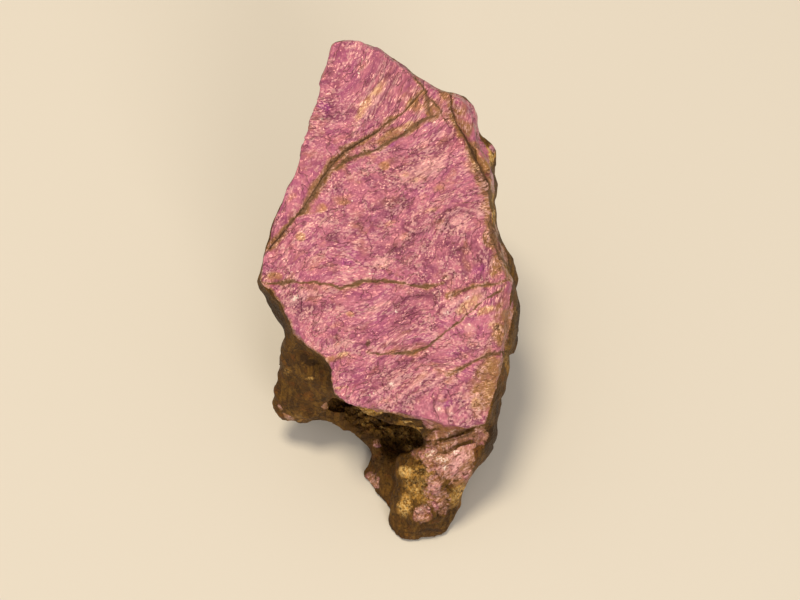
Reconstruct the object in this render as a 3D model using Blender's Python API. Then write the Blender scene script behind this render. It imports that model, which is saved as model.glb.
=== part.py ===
"""Purpurite: a cleaved lump of purple phosphate with a brown oxide crust.

The stone is blocked out as one lofted slab and a few angular chunks, fused into a single closed body,
and then given the steps, cracks, ridges and pits that show from a step away.
It leans back on three small flats of its broken underside, so that its purple face looks forwards and up.
"""

import math

import bmesh
import bpy
import numpy as np
from mathutils import Matrix, Vector, noise

# Lengths are in millimetres, in the frame of the purple face, until the last step turns them to metres.
# A place is (across, up, out): to the right, from the foot to the head, and out of the face.
MM = 0.001
FACE_SLOPE_DEG = 33.0
GROUND_AT_TIP = -3.55
SURFACE_SPACING = 0.2
SMOOTHING_ROUNDS = 2
TRIANGLE_TARGET = 9400
SHARP_EDGE_DEG = 35.0
STONE_COLOUR = (0.33, 0.105, 0.19, 1.0)
STONE_ROUGHNESS = 0.45

# The outlines are as they look to an eye this far in front of the face, straight before this place on it,
# so whatever lies behind the face is really a little wider.
EYE_DISTANCE = 78.0
EYE_PLACE = (0.0, 12.64)

# The slab's edge, clockwise from the head: across, up, how far the flat face stops short of the edge,
# and how far behind the face the edge lies.
SLAB_EDGE = [
    (-3.60, 26.05, 0.15, 0.9),
    (-2.50, 26.20, 0.20, 1.1),
    (-1.75, 25.95, 0.25, 1.2),
    (-0.50, 25.20, 0.25, 1.2),
    (0.75, 24.40, 0.25, 1.3),
    (1.60, 23.80, 0.20, 1.3),
    (2.60, 23.40, 0.15, 1.4),
    (3.45, 23.20, 0.25, 1.6),
    (3.85, 22.75, 0.25, 1.7),
    (4.16, 21.75, 0.25, 1.8),
    (4.12, 21.20, 0.25, 1.9),
    (4.55, 20.40, 0.25, 2.0),
    (4.88, 19.40, 0.25, 2.1),
    (4.92, 17.85, 0.25, 2.2),
    (5.15, 16.55, 0.40, 2.3),
    (5.62, 15.10, 0.50, 2.4),
    (5.86, 14.15, 0.50, 2.5),
    (6.12, 13.50, 0.60, 2.5),
    (6.42, 12.60, 0.85, 2.6),
    (6.40, 11.80, 0.90, 2.6),
    (6.14, 10.30, 0.80, 2.6),
    (5.82, 9.40, 0.70, 2.6),
    (5.52, 7.70, 0.75, 2.5),
    (5.38, 6.70, 0.85, 2.5),
    (5.10, 5.70, 0.90, 2.5),
    (3.65, 5.85, 0.25, 1.0),
    (2.60, 5.98, 0.25, 1.2),
    (1.65, 6.20, 0.25, 1.6),
    (0.80, 6.42, 0.25, 1.9),
    (-0.25, 6.62, 0.30, 1.9),
    (-1.30, 6.85, 0.30, 1.9),
    (-2.20, 7.03, 0.30, 1.9),
    (-3.10, 7.33, 0.30, 1.8),
    (-3.55, 7.65, 0.20, 1.6),
    (-3.65, 8.35, 0.15, 1.5),
    (-3.65, 9.00, 0.15, 1.5),
    (-4.05, 9.65, 0.15, 1.4),
    (-4.85, 10.15, 0.20, 1.4),
    (-5.60, 10.70, 0.35, 1.6),
    (-6.50, 11.23, 0.85, 2.2),
    (-7.02, 12.20, 0.95, 2.2),
    (-7.48, 13.10, 0.65, 1.7),
    (-7.60, 13.60, 0.38, 1.2),
    (-7.18, 14.45, 0.15, 0.8),
    (-6.80, 15.50, 0.12, 0.7),
    (-6.66, 16.40, 0.12, 0.7),
    (-6.22, 17.70, 0.12, 0.7),
    (-5.74, 19.00, 0.12, 0.7),
    (-5.24, 20.35, 0.12, 0.7),
    (-4.89, 21.60, 0.12, 0.7),
    (-4.58, 22.70, 0.12, 0.7),
    (-4.22, 24.10, 0.12, 0.7),
    (-3.82, 25.20, 0.12, 0.7),
]
# Behind its edge the slab narrows towards the back: size beside the edge's, and place out of the face.
SLAB_CENTRE = (0.2, 13.5)
SLAB_RINGS = [(0.97, -4.5), (0.88, -8.0), (0.70, -11.5), (0.50, -14.0)]

# Flat breaks that cut the back: a place on each one, and the way it looks.
BACK_BREAKS = [
    ((0.0, 25.2, -4.2), (-0.10, 0.80, -0.60)),
    ((0.0, 20.0, -8.6), (0.12, 0.50, -0.86)),
    ((1.0, 13.0, -11.8), (0.05, 0.18, -0.98)),
    ((4.9, 17.0, -6.0), (0.80, 0.25, -0.55)),
    ((4.6, 9.0, -7.6), (0.86, -0.10, -0.50)),
    ((-5.4, 17.0, -4.6), (-0.78, 0.22, -0.58)),
    ((-4.8, 11.0, -8.6), (-0.72, -0.05, -0.69)),
    ((0.5, 8.7, -9.2), (0.00, -0.70, -0.71)),
]

# Angular chunks that hang on the slab, each the hull of its corners.
CHUNKS = {
    "left lobe": [
        (-6.08, 10.85, -1.7), (-5.45, 10.60, -1.4), (-3.75, 9.50, -1.7), (-3.55, 7.60, -2.5),
        (-4.85, 8.00, -2.9), (-5.50, 9.40, -2.4), (-6.18, 9.80, -3.4), (-6.48, 8.20, -4.2),
        (-6.50, 6.95, -4.8), (-6.30, 6.45, -5.2), (-5.65, 6.05, -5.3), (-5.30, 6.35, -4.6),
        (-4.10, 6.20, -4.9), (-3.85, 5.95, -5.3), (-5.60, 10.30, -8.2), (-5.30, 7.60, -7.8),
        (-4.00, 7.10, -7.4), (-3.00, 9.00, -9.2),
    ],
    "gully wall": [
        (-4.00, 7.20, -4.2), (-2.35, 6.90, -4.7), (-0.55, 6.60, -5.0), (-0.75, 4.95, -5.1),
        (-1.56, 4.62, -5.3), (-2.35, 4.98, -5.2), (-3.20, 5.32, -5.2), (-3.85, 5.92, -5.1),
        (-3.40, 6.60, -6.9), (-1.00, 5.40, -6.9), (0.00, 8.00, -8.4), (-3.00, 9.00, -9.0),
    ],
    "gully floor": [
        (-1.00, 7.00, -5.8), (1.60, 6.60, -5.6), (3.20, 6.20, -4.4), (1.50, 5.10, -5.3),
        (-0.60, 4.90, -5.6), (-0.60, 5.20, -7.2), (3.00, 5.20, -7.4), (1.00, 9.00, -8.8),
    ],
    "lip": [
        (1.25, 6.30, -0.60), (2.60, 6.15, -0.45), (4.00, 6.05, -0.45), (4.95, 5.95, -1.00),
        (1.10, 5.55, -1.90), (1.50, 4.75, -2.00), (2.80, 5.05, -1.60), (4.40, 5.55, -1.10),
        (1.20, 6.30, -3.00), (1.30, 5.00, -3.40), (4.70, 5.60, -3.60), (4.70, 6.40, -3.00),
    ],
    "gully ledge": [
        (-2.30, 6.80, -2.60), (-0.90, 6.38, -2.20), (0.30, 6.02, -2.00), (1.30, 5.80, -1.90),
        (1.40, 6.40, -1.20), (-0.20, 6.70, -1.60), (-1.90, 7.00, -1.90), (-1.90, 6.90, -4.20),
        (1.30, 6.20, -4.20),
    ],
    "foot": [
        (1.35, 4.90, -1.9), (2.70, 5.50, -1.3), (4.30, 6.10, -0.7), (4.75, 5.80, -1.0),
        (5.10, 5.60, -2.3), (4.30, 3.95, -2.7), (3.47, 2.55, -3.1), (2.80, 1.52, -3.4),
        (2.45, 0.55, -3.3), (2.08, 0.02, -3.6), (1.30, -0.10, -3.5), (0.05, 0.05, -3.6),
        (3.55, 3.70, -1.7), (1.60, 3.70, -1.4), (0.45, 3.90, -2.0), (1.60, 1.30, -2.2),
        (0.45, 1.05, -2.5), (1.85, 0.45, -2.7), (0.35, 0.40, -2.9), (-0.52, 0.55, -3.7),
        (-0.67, 1.70, -3.4), (-0.50, 3.60, -3.2), (-0.30, 4.60, -3.5), (4.60, 5.20, -5.4),
        (4.30, 4.00, -5.0), (3.20, 2.20, -4.4), (2.10, 0.20, -4.1), (0.00, 0.20, -4.1),
        (-0.60, 1.60, -4.3), (0.00, 4.70, -5.6), (2.60, 5.40, -6.4),
    ],
    "foot side": [
        (-2.20, 3.85, -5.3), (-2.05, 3.15, -5.0), (-1.65, 2.58, -4.7), (-0.95, 2.05, -4.3),
        (-0.60, 1.40, -4.1), (-0.70, 4.70, -4.5), (-1.60, 4.55, -5.2), (-1.15, 3.40, -4.2),
        (-2.05, 3.60, -5.5), (-1.60, 2.50, -5.2), (-0.60, 1.50, -4.5), (0.00, 3.00, -5.0),
        (-1.50, 4.70, -6.1), (0.50, 5.00, -6.4),
    ],
    "knob": [
        (4.10, 21.25, -1.7), (4.50, 21.12, -1.5), (4.92, 20.80, -1.6), (5.12, 20.40, -1.8),
        (5.10, 19.95, -2.1), (5.00, 19.40, -2.3), (4.15, 20.30, -0.7), (4.40, 19.40, -0.8),
        (4.20, 20.60, -4.2), (4.30, 19.20, -4.8),
    ],
    "heel": [
        (-2.30, 9.30, -11.40), (0.20, 8.70, -11.00), (2.70, 9.10, -11.20), (3.30, 11.30, -12.70),
        (1.70, 13.00, -13.70), (-1.70, 12.60, -13.40), (-2.60, 10.90, -12.40), (0.50, 11.00, -8.00),
    ],
    "back shoulder": [
        (-3.60, 21.60, -4.2), (-0.60, 22.60, -6.2), (1.40, 21.20, -8.2), (0.60, 18.60, -9.9),
        (-3.40, 18.20, -8.2), (-4.40, 19.20, -5.4), (0.00, 20.00, -5.0),
    ],
    "back rib": [
        (1.20, 18.60, -9.4), (3.80, 18.20, -7.9), (4.60, 14.80, -8.4), (3.00, 11.80, -11.0),
        (0.80, 12.60, -12.2), (0.40, 15.60, -11.6), (2.00, 15.00, -7.0),
    ],
}

# Cracks that cross the face: half width, depth, then the places that each one passes through.
CRACKS = [
    (0.30, 0.15, [(1.20, 23.55), (0.60, 22.95), (-0.75, 21.80), (-1.45, 21.20), (-2.95, 20.35),
                  (-4.05, 18.95), (-5.05, 17.45), (-6.30, 15.95), (-6.70, 15.40)]),
    (0.26, 0.12, [(2.20, 22.35), (0.95, 21.80), (-0.55, 20.85), (-2.00, 20.20), (-3.75, 19.30)]),
    (0.26, 0.14, [(0.60, 24.60), (1.10, 23.85), (1.45, 22.90), (1.60, 22.10)]),
    (0.34, 0.36, [(2.60, 23.60), (2.65, 22.60), (2.90, 21.85), (3.60, 20.60), (3.90, 19.90),
                  (4.60, 18.85), (4.78, 17.65), (4.76, 16.10), (5.25, 14.95), (5.80, 13.90)]),
    (0.26, 0.12, [(-7.20, 13.50), (-5.35, 13.57), (-3.60, 13.40), (-3.10, 13.22), (-1.85, 13.62),
                  (0.10, 13.52), (0.85, 13.36), (2.25, 13.55)]),
    (0.24, 0.09, [(5.75, 13.75), (4.50, 13.48), (3.00, 13.05)]),
    (0.24, 0.10, [(5.55, 13.45), (4.50, 12.75), (3.00, 11.45), (1.55, 10.30), (0.75, 9.92),
                  (-1.80, 9.90)]),
    (0.26, 0.13, [(6.15, 10.10), (5.05, 9.90), (4.30, 9.67), (2.50, 8.80)]),
    (0.24, 0.30, [(1.20, 5.40), (2.60, 5.62), (4.20, 6.25)]),
    (0.22, 0.24, [(1.60, 4.60), (2.60, 4.85), (4.20, 5.45)]),
]

# Steps of the face: how far it drops on the right of a line, seen along the line from its first place.
FACE_STEPS = [
    (0.50, [(2.62, 23.60), (2.65, 22.60), (2.90, 21.85), (3.90, 19.90), (4.60, 18.85), (4.78, 17.65),
            (4.76, 16.10), (5.25, 14.95), (5.80, 13.90), (6.40, 12.60)]),
    (-0.16, [(-7.60, 13.50), (-3.60, 13.40), (0.10, 13.52), (2.25, 13.55), (6.50, 13.60)]),
    (0.18, [(2.60, 24.00), (1.20, 23.55), (-1.45, 21.20), (-4.05, 18.95), (-7.00, 15.30)]),
    (-0.16, [(3.20, 22.70), (0.95, 21.80), (-2.00, 20.20), (-4.10, 18.90), (-7.00, 15.20)]),
]
FACE_STEP_RAMP = 0.2
# Steps fade out between these two places behind the face.
FACE_STEP_FADE = (-1.6, -0.8)

# Broken ledges on the hidden sides: the side, the drop on the right of a line, and the line's places.
# A place on the back is (across, up), and one on the right or left side is (out, up).
SIDE_LEDGES = [
    ("back", 0.55, [(-6.50, 15.60), (-3.10, 16.90), (-1.20, 15.20), (1.40, 16.40), (6.50, 13.60)]),
    ("back", 0.45, [(-1.60, 27.00), (-1.10, 22.40), (0.90, 20.30), (0.30, 17.20), (1.40, 12.00)]),
    ("right", 0.50, [(-3.20, 20.40), (-4.60, 17.60), (-5.40, 14.20), (-7.60, 11.60), (-8.80, 6.00)]),
    ("right", -0.40, [(-3.20, 12.80), (-4.60, 10.40), (-4.90, 7.40), (-6.40, 4.20)]),
    ("left", 0.45, [(-2.80, 21.40), (-3.80, 18.40), (-5.80, 16.60), (-6.80, 12.80), (-9.80, 11.20)]),
    ("left", -0.40, [(-2.80, 14.60), (-5.00, 13.20), (-5.80, 9.80)]),
]
SIDE_LEDGE_RAMP = 0.3
# Each side's axes: along, up, and outwards with its sign.
SIDES = {"back": (0, 1, 2, -1.0), "right": (2, 1, 0, 1.0), "left": (2, 1, 0, -1.0)}
# What is nearer the face than the first value keeps the outline that shows from in front, and what is
# farther than the second is torn in full.
TORN_FROM = -1.8
TORN_FULLY = -3.6
# Below the first of these places up the face the sides have no ledges and keep this share of their
# roughness, as the foot is worn smooth.
FOOT_TOP = (3.5, 6.5)
FOOT_ROUGHNESS = 0.8
# A surface counts as turned to a side between these parts of its normal along that side.
FACING = (0.3, 0.75)

# Roughness: size and height of the soft swells, and of the flat chips that the broken crust ends in.
SWELLS = (3.2, 0.26)
CHIPS = [(2.3, 0.17), (1.1, 0.08)]
CHIP_RAMP = 0.10
CELL_SHUFFLE = 7.3
# Share of that roughness near the face, and how much of it a surface loses that looks forwards,
# near the face and deep behind it.
ROUGH_BY_THE_FACE = 0.40
FORWARD_LOSS = (0.80, 0.45)

# The cleaved face has low ribs that run up to the right, and it waves a little.
RIB_DIRECTION = (0.85, 0.53)
RIB_STRETCH = 3.4
RIBS = (1.9, 0.06)
WAVES = (4.5, 0.09)

# Rounding off the fused skin takes this much off its edges.
ROUNDED_OFF = 0.07
NORMAL_SOFTENING = 4

# Pits in the lobe and in the gully: place, radius and depth.
PITS = [
    ((-5.10, 9.75, -1.9), 0.50, 0.35),
    ((-4.65, 9.40, -2.1), 0.60, 0.50),
    ((-4.15, 9.20, -2.2), 0.45, 0.40),
    ((-2.50, 6.30, -4.7), 0.60, 0.35),
    ((0.30, 5.75, -4.3), 0.60, 0.40),
]
PIT_STEEPNESS = 0.7


def clear_scene():
    """Empty the file, so that it holds only the stone."""
    for old in list(bpy.data.objects):
        bpy.data.objects.remove(old, do_unlink=True)


def as_seen(across, up, out):
    """The real place of one that the eye sees at this spot, but that lies behind the face."""
    spread = (EYE_DISTANCE - out) / EYE_DISTANCE
    eye_across, eye_up = EYE_PLACE
    return (eye_across + (across - eye_across) * spread, eye_up + (up - eye_up) * spread, out)


def add_ring(bm, places):
    """Add a closed loop of edges through the places."""
    corners = [bm.verts.new(place) for place in places]
    return [bm.edges.new((corners[i - 1], corner)) for i, corner in enumerate(corners)]


def cap_ring(bm, ring):
    """Close a loop of edges with one flat face."""
    bmesh.ops.contextual_create(bm, geom=ring)


def slab_rings():
    """Places of the slab's loops, from the flat face to the back."""
    edge = [Vector((row[0], row[1])) for row in SLAB_EDGE]
    face, rim = [], []
    for i, (across, up, inset, depth) in enumerate(SLAB_EDGE):
        along = (edge[(i + 1) % len(edge)] - edge[i - 1]).normalized()
        inwards = Vector((along.y, -along.x))
        corner = edge[i] + inwards * inset
        face.append((corner.x, corner.y, 0.0))
        rim.append(as_seen(across, up, -depth))
    rings = [face, rim]
    centre = Vector(SLAB_CENTRE)
    for size, out in SLAB_RINGS:
        shrunk = [centre + (place - centre) * size for place in edge]
        rings.append([(place.x, place.y, out) for place in shrunk])
    return rings


def build_slab(bm):
    """Loft the slab through its loops and break its back off along flat planes."""
    loops = [add_ring(bm, ring) for ring in slab_rings()]
    for front, back in zip(loops, loops[1:]):
        bmesh.ops.bridge_loops(bm, edges=front + back)
    cap_ring(bm, loops[0])
    cap_ring(bm, loops[-1])
    for place, way in BACK_BREAKS:
        cut_flat(bm, Vector(place), Vector(way))


def cut_flat(bm, place, way):
    """Take off what lies beyond a plane, and close the cut with a flat face."""
    geometry = bm.verts[:] + bm.edges[:] + bm.faces[:]
    cut = bmesh.ops.bisect_plane(bm, geom=geometry, dist=1e-5, plane_co=place, plane_no=way,
                                 clear_outer=True)
    rim = [part for part in cut["geom_cut"] if isinstance(part, bmesh.types.BMEdge)]
    bmesh.ops.holes_fill(bm, edges=rim)


def add_chunk(bm, corners):
    """Add the hull of the corners."""
    points = [bm.verts.new(as_seen(*corner)) for corner in corners]
    hull = bmesh.ops.convex_hull(bm, input=points)
    inside = [part for part in hull["geom_interior"] if isinstance(part, bmesh.types.BMVert)]
    bmesh.ops.delete(bm, geom=inside, context="VERTS")


def block_out():
    """The slab and its chunks, overlapping, in one mesh."""
    bm = bmesh.new()
    build_slab(bm)
    for corners in CHUNKS.values():
        add_chunk(bm, corners)
    bmesh.ops.recalc_face_normals(bm, faces=bm.faces[:])
    mesh = bpy.data.meshes.new("blocked stone")
    bm.to_mesh(mesh)
    bm.free()
    return mesh


def through_modifier(mesh, kind, **settings):
    """The mesh as one modifier leaves it."""
    helper = bpy.data.objects.new("helper", mesh)
    bpy.context.scene.collection.objects.link(helper)
    modifier = helper.modifiers.new(kind.title(), kind)
    for name, value in settings.items():
        setattr(modifier, name, value)
    graph = bpy.context.evaluated_depsgraph_get()
    result = bpy.data.meshes.new_from_object(helper.evaluated_get(graph), depsgraph=graph)
    bpy.data.objects.remove(helper, do_unlink=True)
    bpy.data.meshes.remove(mesh)
    return result


def fuse(mesh):
    """Make one even skin around all the overlapping pieces, and take the stair steps off it."""
    fused = through_modifier(mesh, "REMESH", mode="VOXEL", voxel_size=SURFACE_SPACING)
    bm = bmesh.new()
    bm.from_mesh(fused)
    for _ in range(SMOOTHING_ROUNDS):
        bmesh.ops.smooth_vert(bm, verts=bm.verts[:], factor=0.5, use_axis_x=True, use_axis_y=True,
                              use_axis_z=True)
    bm.to_mesh(fused)
    bm.free()
    return fused


def line_distance(flat, line):
    """Distance of each flat place from a line of places, and on which side it lies (right is positive)."""
    nearest = np.full(len(flat), np.inf)
    side = np.zeros(len(flat))
    for start, end in zip(np.array(line), np.array(line)[1:]):
        run = end - start
        along = np.clip((flat - start) @ run / (run @ run), 0.0, 1.0)
        apart = flat - (start + along[:, None] * run)
        distance = np.hypot(apart[:, 0], apart[:, 1])
        closer = distance < nearest
        turn = run[1] * apart[:, 0] - run[0] * apart[:, 1]
        side[closer] = np.sign(turn[closer])
        nearest[closer] = distance[closer]
    return nearest, side


def ramp(values, low, high):
    """Rise smoothly from 0 at low to 1 at high."""
    share = np.clip((values - low) / (high - low), 0.0, 1.0)
    return share * share * (3.0 - 2.0 * share)


def ledge_relief(places, normals):
    """The moves that break the hidden sides into ledges."""
    moves = np.zeros_like(places)
    torn = ramp(-places[:, 2], -TORN_FROM, -TORN_FULLY) * ramp(places[:, 1], *FOOT_TOP)
    for name, drop, line in SIDE_LEDGES:
        along, up, outwards, sign = SIDES[name]
        facing = ramp(normals[:, outwards] * sign, *FACING)
        distance, side = line_distance(places[:, [along, up]], line)
        fallen = ramp(distance * side, -SIDE_LEDGE_RAMP, SIDE_LEDGE_RAMP)
        moves[:, outwards] -= sign * drop * facing * torn * fallen
    return moves


def step_relief(places, normals):
    """How far the face drops at each place."""
    on_face = ramp(normals[:, 2], *FACING) * ramp(places[:, 2], *FACE_STEP_FADE)
    drops = np.zeros(len(places))
    for drop, line in FACE_STEPS:
        distance, side = line_distance(places[:, :2], line)
        drops += drop * on_face * ramp(distance * side, -FACE_STEP_RAMP, FACE_STEP_RAMP)
    return drops


def crack_relief(places, normals):
    """How deep the cracks are at each place."""
    depths = np.zeros(len(places))
    forward = ramp(normals[:, 2], *FACING)
    for half_width, depth, line in CRACKS:
        distance, _ = line_distance(places[:, :2], line)
        depths += depth * forward * np.clip(1.0 - distance / half_width, 0.0, 1.0)
    return depths


def grain(place, size):
    """A soft random value from -1 to 1 that changes over about this size."""
    return noise.noise(Vector(place) / size)


def chipped(place, size):
    """A value from -1 to 1 that is level on each chip of about this size, with a short ramp between two."""
    distances, middles = noise.voronoi(Vector(place) / size)
    first = noise.cell(middles[0] * CELL_SHUFFLE)
    second = noise.cell(middles[1] * CELL_SHUFFLE)
    share = 0.5 * math.exp(-(distances[1] - distances[0]) / CHIP_RAMP)
    return 2.0 * (first * (1.0 - share) + second * share) - 1.0


def rough_relief(place, normal):
    """How far a place moves out along its normal for the swells and chips of the broken sides."""
    deep = min(1.0, max(0.0, (TORN_FROM - place[2]) / (TORN_FROM - TORN_FULLY)))
    near_loss, deep_loss = FORWARD_LOSS
    loss = (near_loss + (deep_loss - near_loss) * deep) * max(0.0, normal[2])
    strength = (ROUGH_BY_THE_FACE + (1.0 - ROUGH_BY_THE_FACE) * deep) * (1.0 - loss)
    strength *= FOOT_ROUGHNESS + (1.0 - FOOT_ROUGHNESS) * float(ramp(place[1], *FOOT_TOP))
    size, height = SWELLS
    swell = height * grain(place, size)
    chips = sum(height * chipped(place, size) for size, height in CHIPS)
    return strength * (swell + chips)


def rib_relief(place):
    """Low ribs and waves of the cleaved face."""
    across, up, out = place
    right, rise = RIB_DIRECTION
    turned = (across * right + up * rise, (up * right - across * rise) * RIB_STRETCH, out)
    return RIBS[1] * grain(turned, RIBS[0]) + WAVES[1] * grain(place, WAVES[0])


def pit_relief(place):
    """How deep the pits are at a place."""
    deepest = 0.0
    for centre, radius, depth in PITS:
        share = max(0.0, 1.0 - (Vector(place) - Vector(centre)).length / radius)
        deepest = max(deepest, depth * share ** PIT_STEEPNESS)
    return deepest


def soft_normals(mesh, normals):
    """Normals averaged over their neighbours, so that a ridge turns gradually from side to side."""
    ends = np.empty(len(mesh.edges) * 2, dtype=int)
    mesh.edges.foreach_get("vertices", ends)
    starts, stops = ends.reshape(-1, 2).T
    soft = normals.copy()
    for _ in range(NORMAL_SOFTENING):
        total = soft.copy()
        np.add.at(total, starts, soft[stops])
        np.add.at(total, stops, soft[starts])
        soft = total / np.linalg.norm(total, axis=1)[:, None]
    return soft


def carve(mesh):
    """Move every point of the skin for the torn sides and for what shows on the face."""
    count = len(mesh.vertices)
    places = np.empty(count * 3)
    normals = np.empty(count * 3)
    mesh.vertices.foreach_get("co", places)
    mesh.vertices.foreach_get("normal", normals)
    places = places.reshape(-1, 3)
    normals = normals.reshape(-1, 3)
    soft = soft_normals(mesh, normals)
    outwards = np.full(count, ROUNDED_OFF)
    for i in range(count):
        outwards[i] += rough_relief(places[i], soft[i]) + rib_relief(places[i]) - pit_relief(places[i])
    moved = places + soft * outwards[:, None] + ledge_relief(places, soft)
    moved[:, 2] -= step_relief(places, normals) + crack_relief(places, normals)
    mesh.vertices.foreach_set("co", moved.ravel())
    mesh.update()
    return mesh


def thin_out(mesh):
    """Keep the triangles where the stone bends, and drop them where it is flat."""
    mesh.calc_loop_triangles()
    share = TRIANGLE_TARGET / len(mesh.loop_triangles)
    return through_modifier(mesh, "DECIMATE", decimate_type="COLLAPSE", ratio=share,
                            use_collapse_triangulate=True)


def island_of(start):
    """Every point that hangs together with this one."""
    island = {start}
    waiting = [start]
    while waiting:
        vert = waiting.pop()
        for edge in vert.link_edges:
            other = edge.other_vert(vert)
            if other not in island:
                island.add(other)
                waiting.append(other)
    return island


def keep_largest(bm):
    """Drop every speck that doesn't hang on the stone."""
    islands = []
    left = set(bm.verts)
    while left:
        islands.append(island_of(next(iter(left))))
        left -= islands[-1]
    islands.sort(key=len)
    for island in islands[:-1]:
        bmesh.ops.delete(bm, geom=list(island), context="VERTS")


def set_down(mesh):
    """Lean the stone back, cut the flat spot that it rests on, and centre it over the origin."""
    lean = Matrix.Rotation(math.radians(FACE_SLOPE_DEG), 4, "X")
    lift = Matrix.Translation((0.0, 0.0, -GROUND_AT_TIP * math.cos(math.radians(FACE_SLOPE_DEG))))
    bm = bmesh.new()
    bm.from_mesh(mesh)
    bmesh.ops.transform(bm, matrix=lift @ lean, verts=bm.verts[:])
    cut_flat(bm, Vector((0.0, 0.0, 0.0)), Vector((0.0, 0.0, -1.0)))
    keep_largest(bm)
    bmesh.ops.triangulate(bm, faces=bm.faces[:])
    across = [vert.co.x for vert in bm.verts]
    deep = [vert.co.y for vert in bm.verts]
    middle = Vector(((min(across) + max(across)) / 2.0, (min(deep) + max(deep)) / 2.0, 0.0))
    bmesh.ops.translate(bm, vec=-middle, verts=bm.verts[:])
    bmesh.ops.scale(bm, vec=(MM, MM, MM), verts=bm.verts[:])
    bm.to_mesh(mesh)
    bm.free()
    return middle


def purple_phosphate():
    """Satiny purple purpurite, as one plain finish."""
    material = bpy.data.materials.new("purple phosphate")
    material.use_nodes = True
    shader = material.node_tree.nodes["Principled BSDF"]
    shader.inputs["Base Color"].default_value = STONE_COLOUR
    shader.inputs["Roughness"].default_value = STONE_ROUGHNESS
    shader.inputs["Metallic"].default_value = 0.0
    return material


def build():
    """Make the stone."""
    clear_scene()
    mesh = thin_out(carve(fuse(block_out())))
    middle = set_down(mesh)
    mesh.materials.clear()
    mesh.materials.append(purple_phosphate())
    mesh.shade_smooth()
    mesh.set_sharp_from_angle(angle=math.radians(SHARP_EDGE_DEG))
    stone = bpy.data.objects.new("purpurite", mesh)
    bpy.context.scene.collection.objects.link(stone)
    print("face frame moved by", [round(value, 3) for value in middle], "mm")


build()
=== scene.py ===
# %% [markdown]
# # A cleaved lump of purpurite
#
# Purpurite is a manganese phosphate. It is what is left when brown lithiophilite weathers and loses its
# lithium: the stone turns purple, but it keeps the old crystal's cleavage, so it still splits into flat,
# silky faces. Outside, and along every crack, it wears a brown crust of manganese and iron oxides.
#
# The solid that carries the shape is already made and fixed. This lesson gives it the skin that the eye
# sees: finer relief on a copy of the solid, and one material that knows where the clean face, the veins
# and the crust are.

# %% Load the fixed solid
import math

import bmesh
import bpy
import numpy as np
from mathutils import Matrix, Vector, noise


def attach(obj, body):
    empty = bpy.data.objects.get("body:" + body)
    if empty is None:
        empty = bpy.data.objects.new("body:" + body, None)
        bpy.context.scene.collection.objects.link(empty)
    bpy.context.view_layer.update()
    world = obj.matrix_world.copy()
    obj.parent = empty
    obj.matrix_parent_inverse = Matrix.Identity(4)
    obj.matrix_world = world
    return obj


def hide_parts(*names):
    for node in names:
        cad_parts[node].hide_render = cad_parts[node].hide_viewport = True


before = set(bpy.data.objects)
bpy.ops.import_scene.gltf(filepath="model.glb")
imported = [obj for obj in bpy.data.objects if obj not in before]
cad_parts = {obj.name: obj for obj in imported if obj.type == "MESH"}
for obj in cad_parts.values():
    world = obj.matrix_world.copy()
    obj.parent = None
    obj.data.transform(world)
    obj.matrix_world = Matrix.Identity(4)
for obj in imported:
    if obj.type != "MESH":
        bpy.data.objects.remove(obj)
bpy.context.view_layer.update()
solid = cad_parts["purpurite"]

# %% [markdown]
# ## Working in the frame of the purple face
#
# The stone leans back, so its big face slopes. Everything on that face is easier to place in the face's
# own frame, in millimetres: across it, up along it, and out of it. One matrix turns such a place into
# the row's frame in metres, and its inverse brings the solid's copy here to be worked on.

# %% The face's frame
MM = 0.001
FACE_SLOPE_DEG = 33.0
FACE_ORIGIN = Vector((0.575, -12.423, 2.977))

to_row = (
    Matrix.Scale(MM, 4)
    @ Matrix.Translation(FACE_ORIGIN)
    @ Matrix.Rotation(math.radians(FACE_SLOPE_DEG), 4, "X")
)
to_face = to_row.inverted()
print("the face looks along", [round(value, 3) for value in to_row.to_3x3().col[2].normalized()])

# %% [markdown]
# ## The camera
#
# The picture looks straight at the purple face from close by. So the camera sits before the face's
# middle, in line with the face's frame, at the distance whose perspective makes the parts behind the
# face look as much smaller as they do. The lens then follows from the picture's width at the face.

# %% Place the camera
EYE_DISTANCE = 78.0
EYE_PLACE = (0.0, 12.64)
PICTURE_WIDTH = 41.6
SENSOR_WIDTH = 36.0
NEAREST_SEEN = 0.005


def put_in_scene(name, data):
    """A new object that holds this data, linked to the scene."""
    thing = bpy.data.objects.new(name, data)
    bpy.context.scene.collection.objects.link(thing)
    return thing


camera_data = bpy.data.cameras.new("camera")
camera_data.sensor_width = SENSOR_WIDTH
camera_data.lens = SENSOR_WIDTH * EYE_DISTANCE / PICTURE_WIDTH
camera_data.clip_start = NEAREST_SEEN
camera = put_in_scene("camera", camera_data)
camera.location = to_row @ Vector((*EYE_PLACE, EYE_DISTANCE))
camera.rotation_euler = (math.radians(FACE_SLOPE_DEG), 0.0, 0.0)
bpy.context.scene.camera = camera
print("lens", round(camera_data.lens, 1), "mm")

# %% [markdown]
# ## Lines and ovals on the face
#
# Veins, cracks and the rim of the clean face are drawn as lines of places on the face, in millimetres.
# A vein is where the oxides crept in: it has a dark core that lies a little deep, and a stain beside it.
# The helpers measure how far each point of the skin lies from such a line, because a distance can later
# become a groove, a colour or a soft edge with the same few words. Patches are drawn as soft ovals.

# %% Helpers for lines and soft edges
# An oval is full up to the first of these shares of its size, and has faded out at the second.
OVAL_EDGE = (0.25, 1.35)


def line_length(line):
    """Length of a line of places."""
    return sum(math.dist(start, end) for start, end in zip(line, line[1:]))


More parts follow.
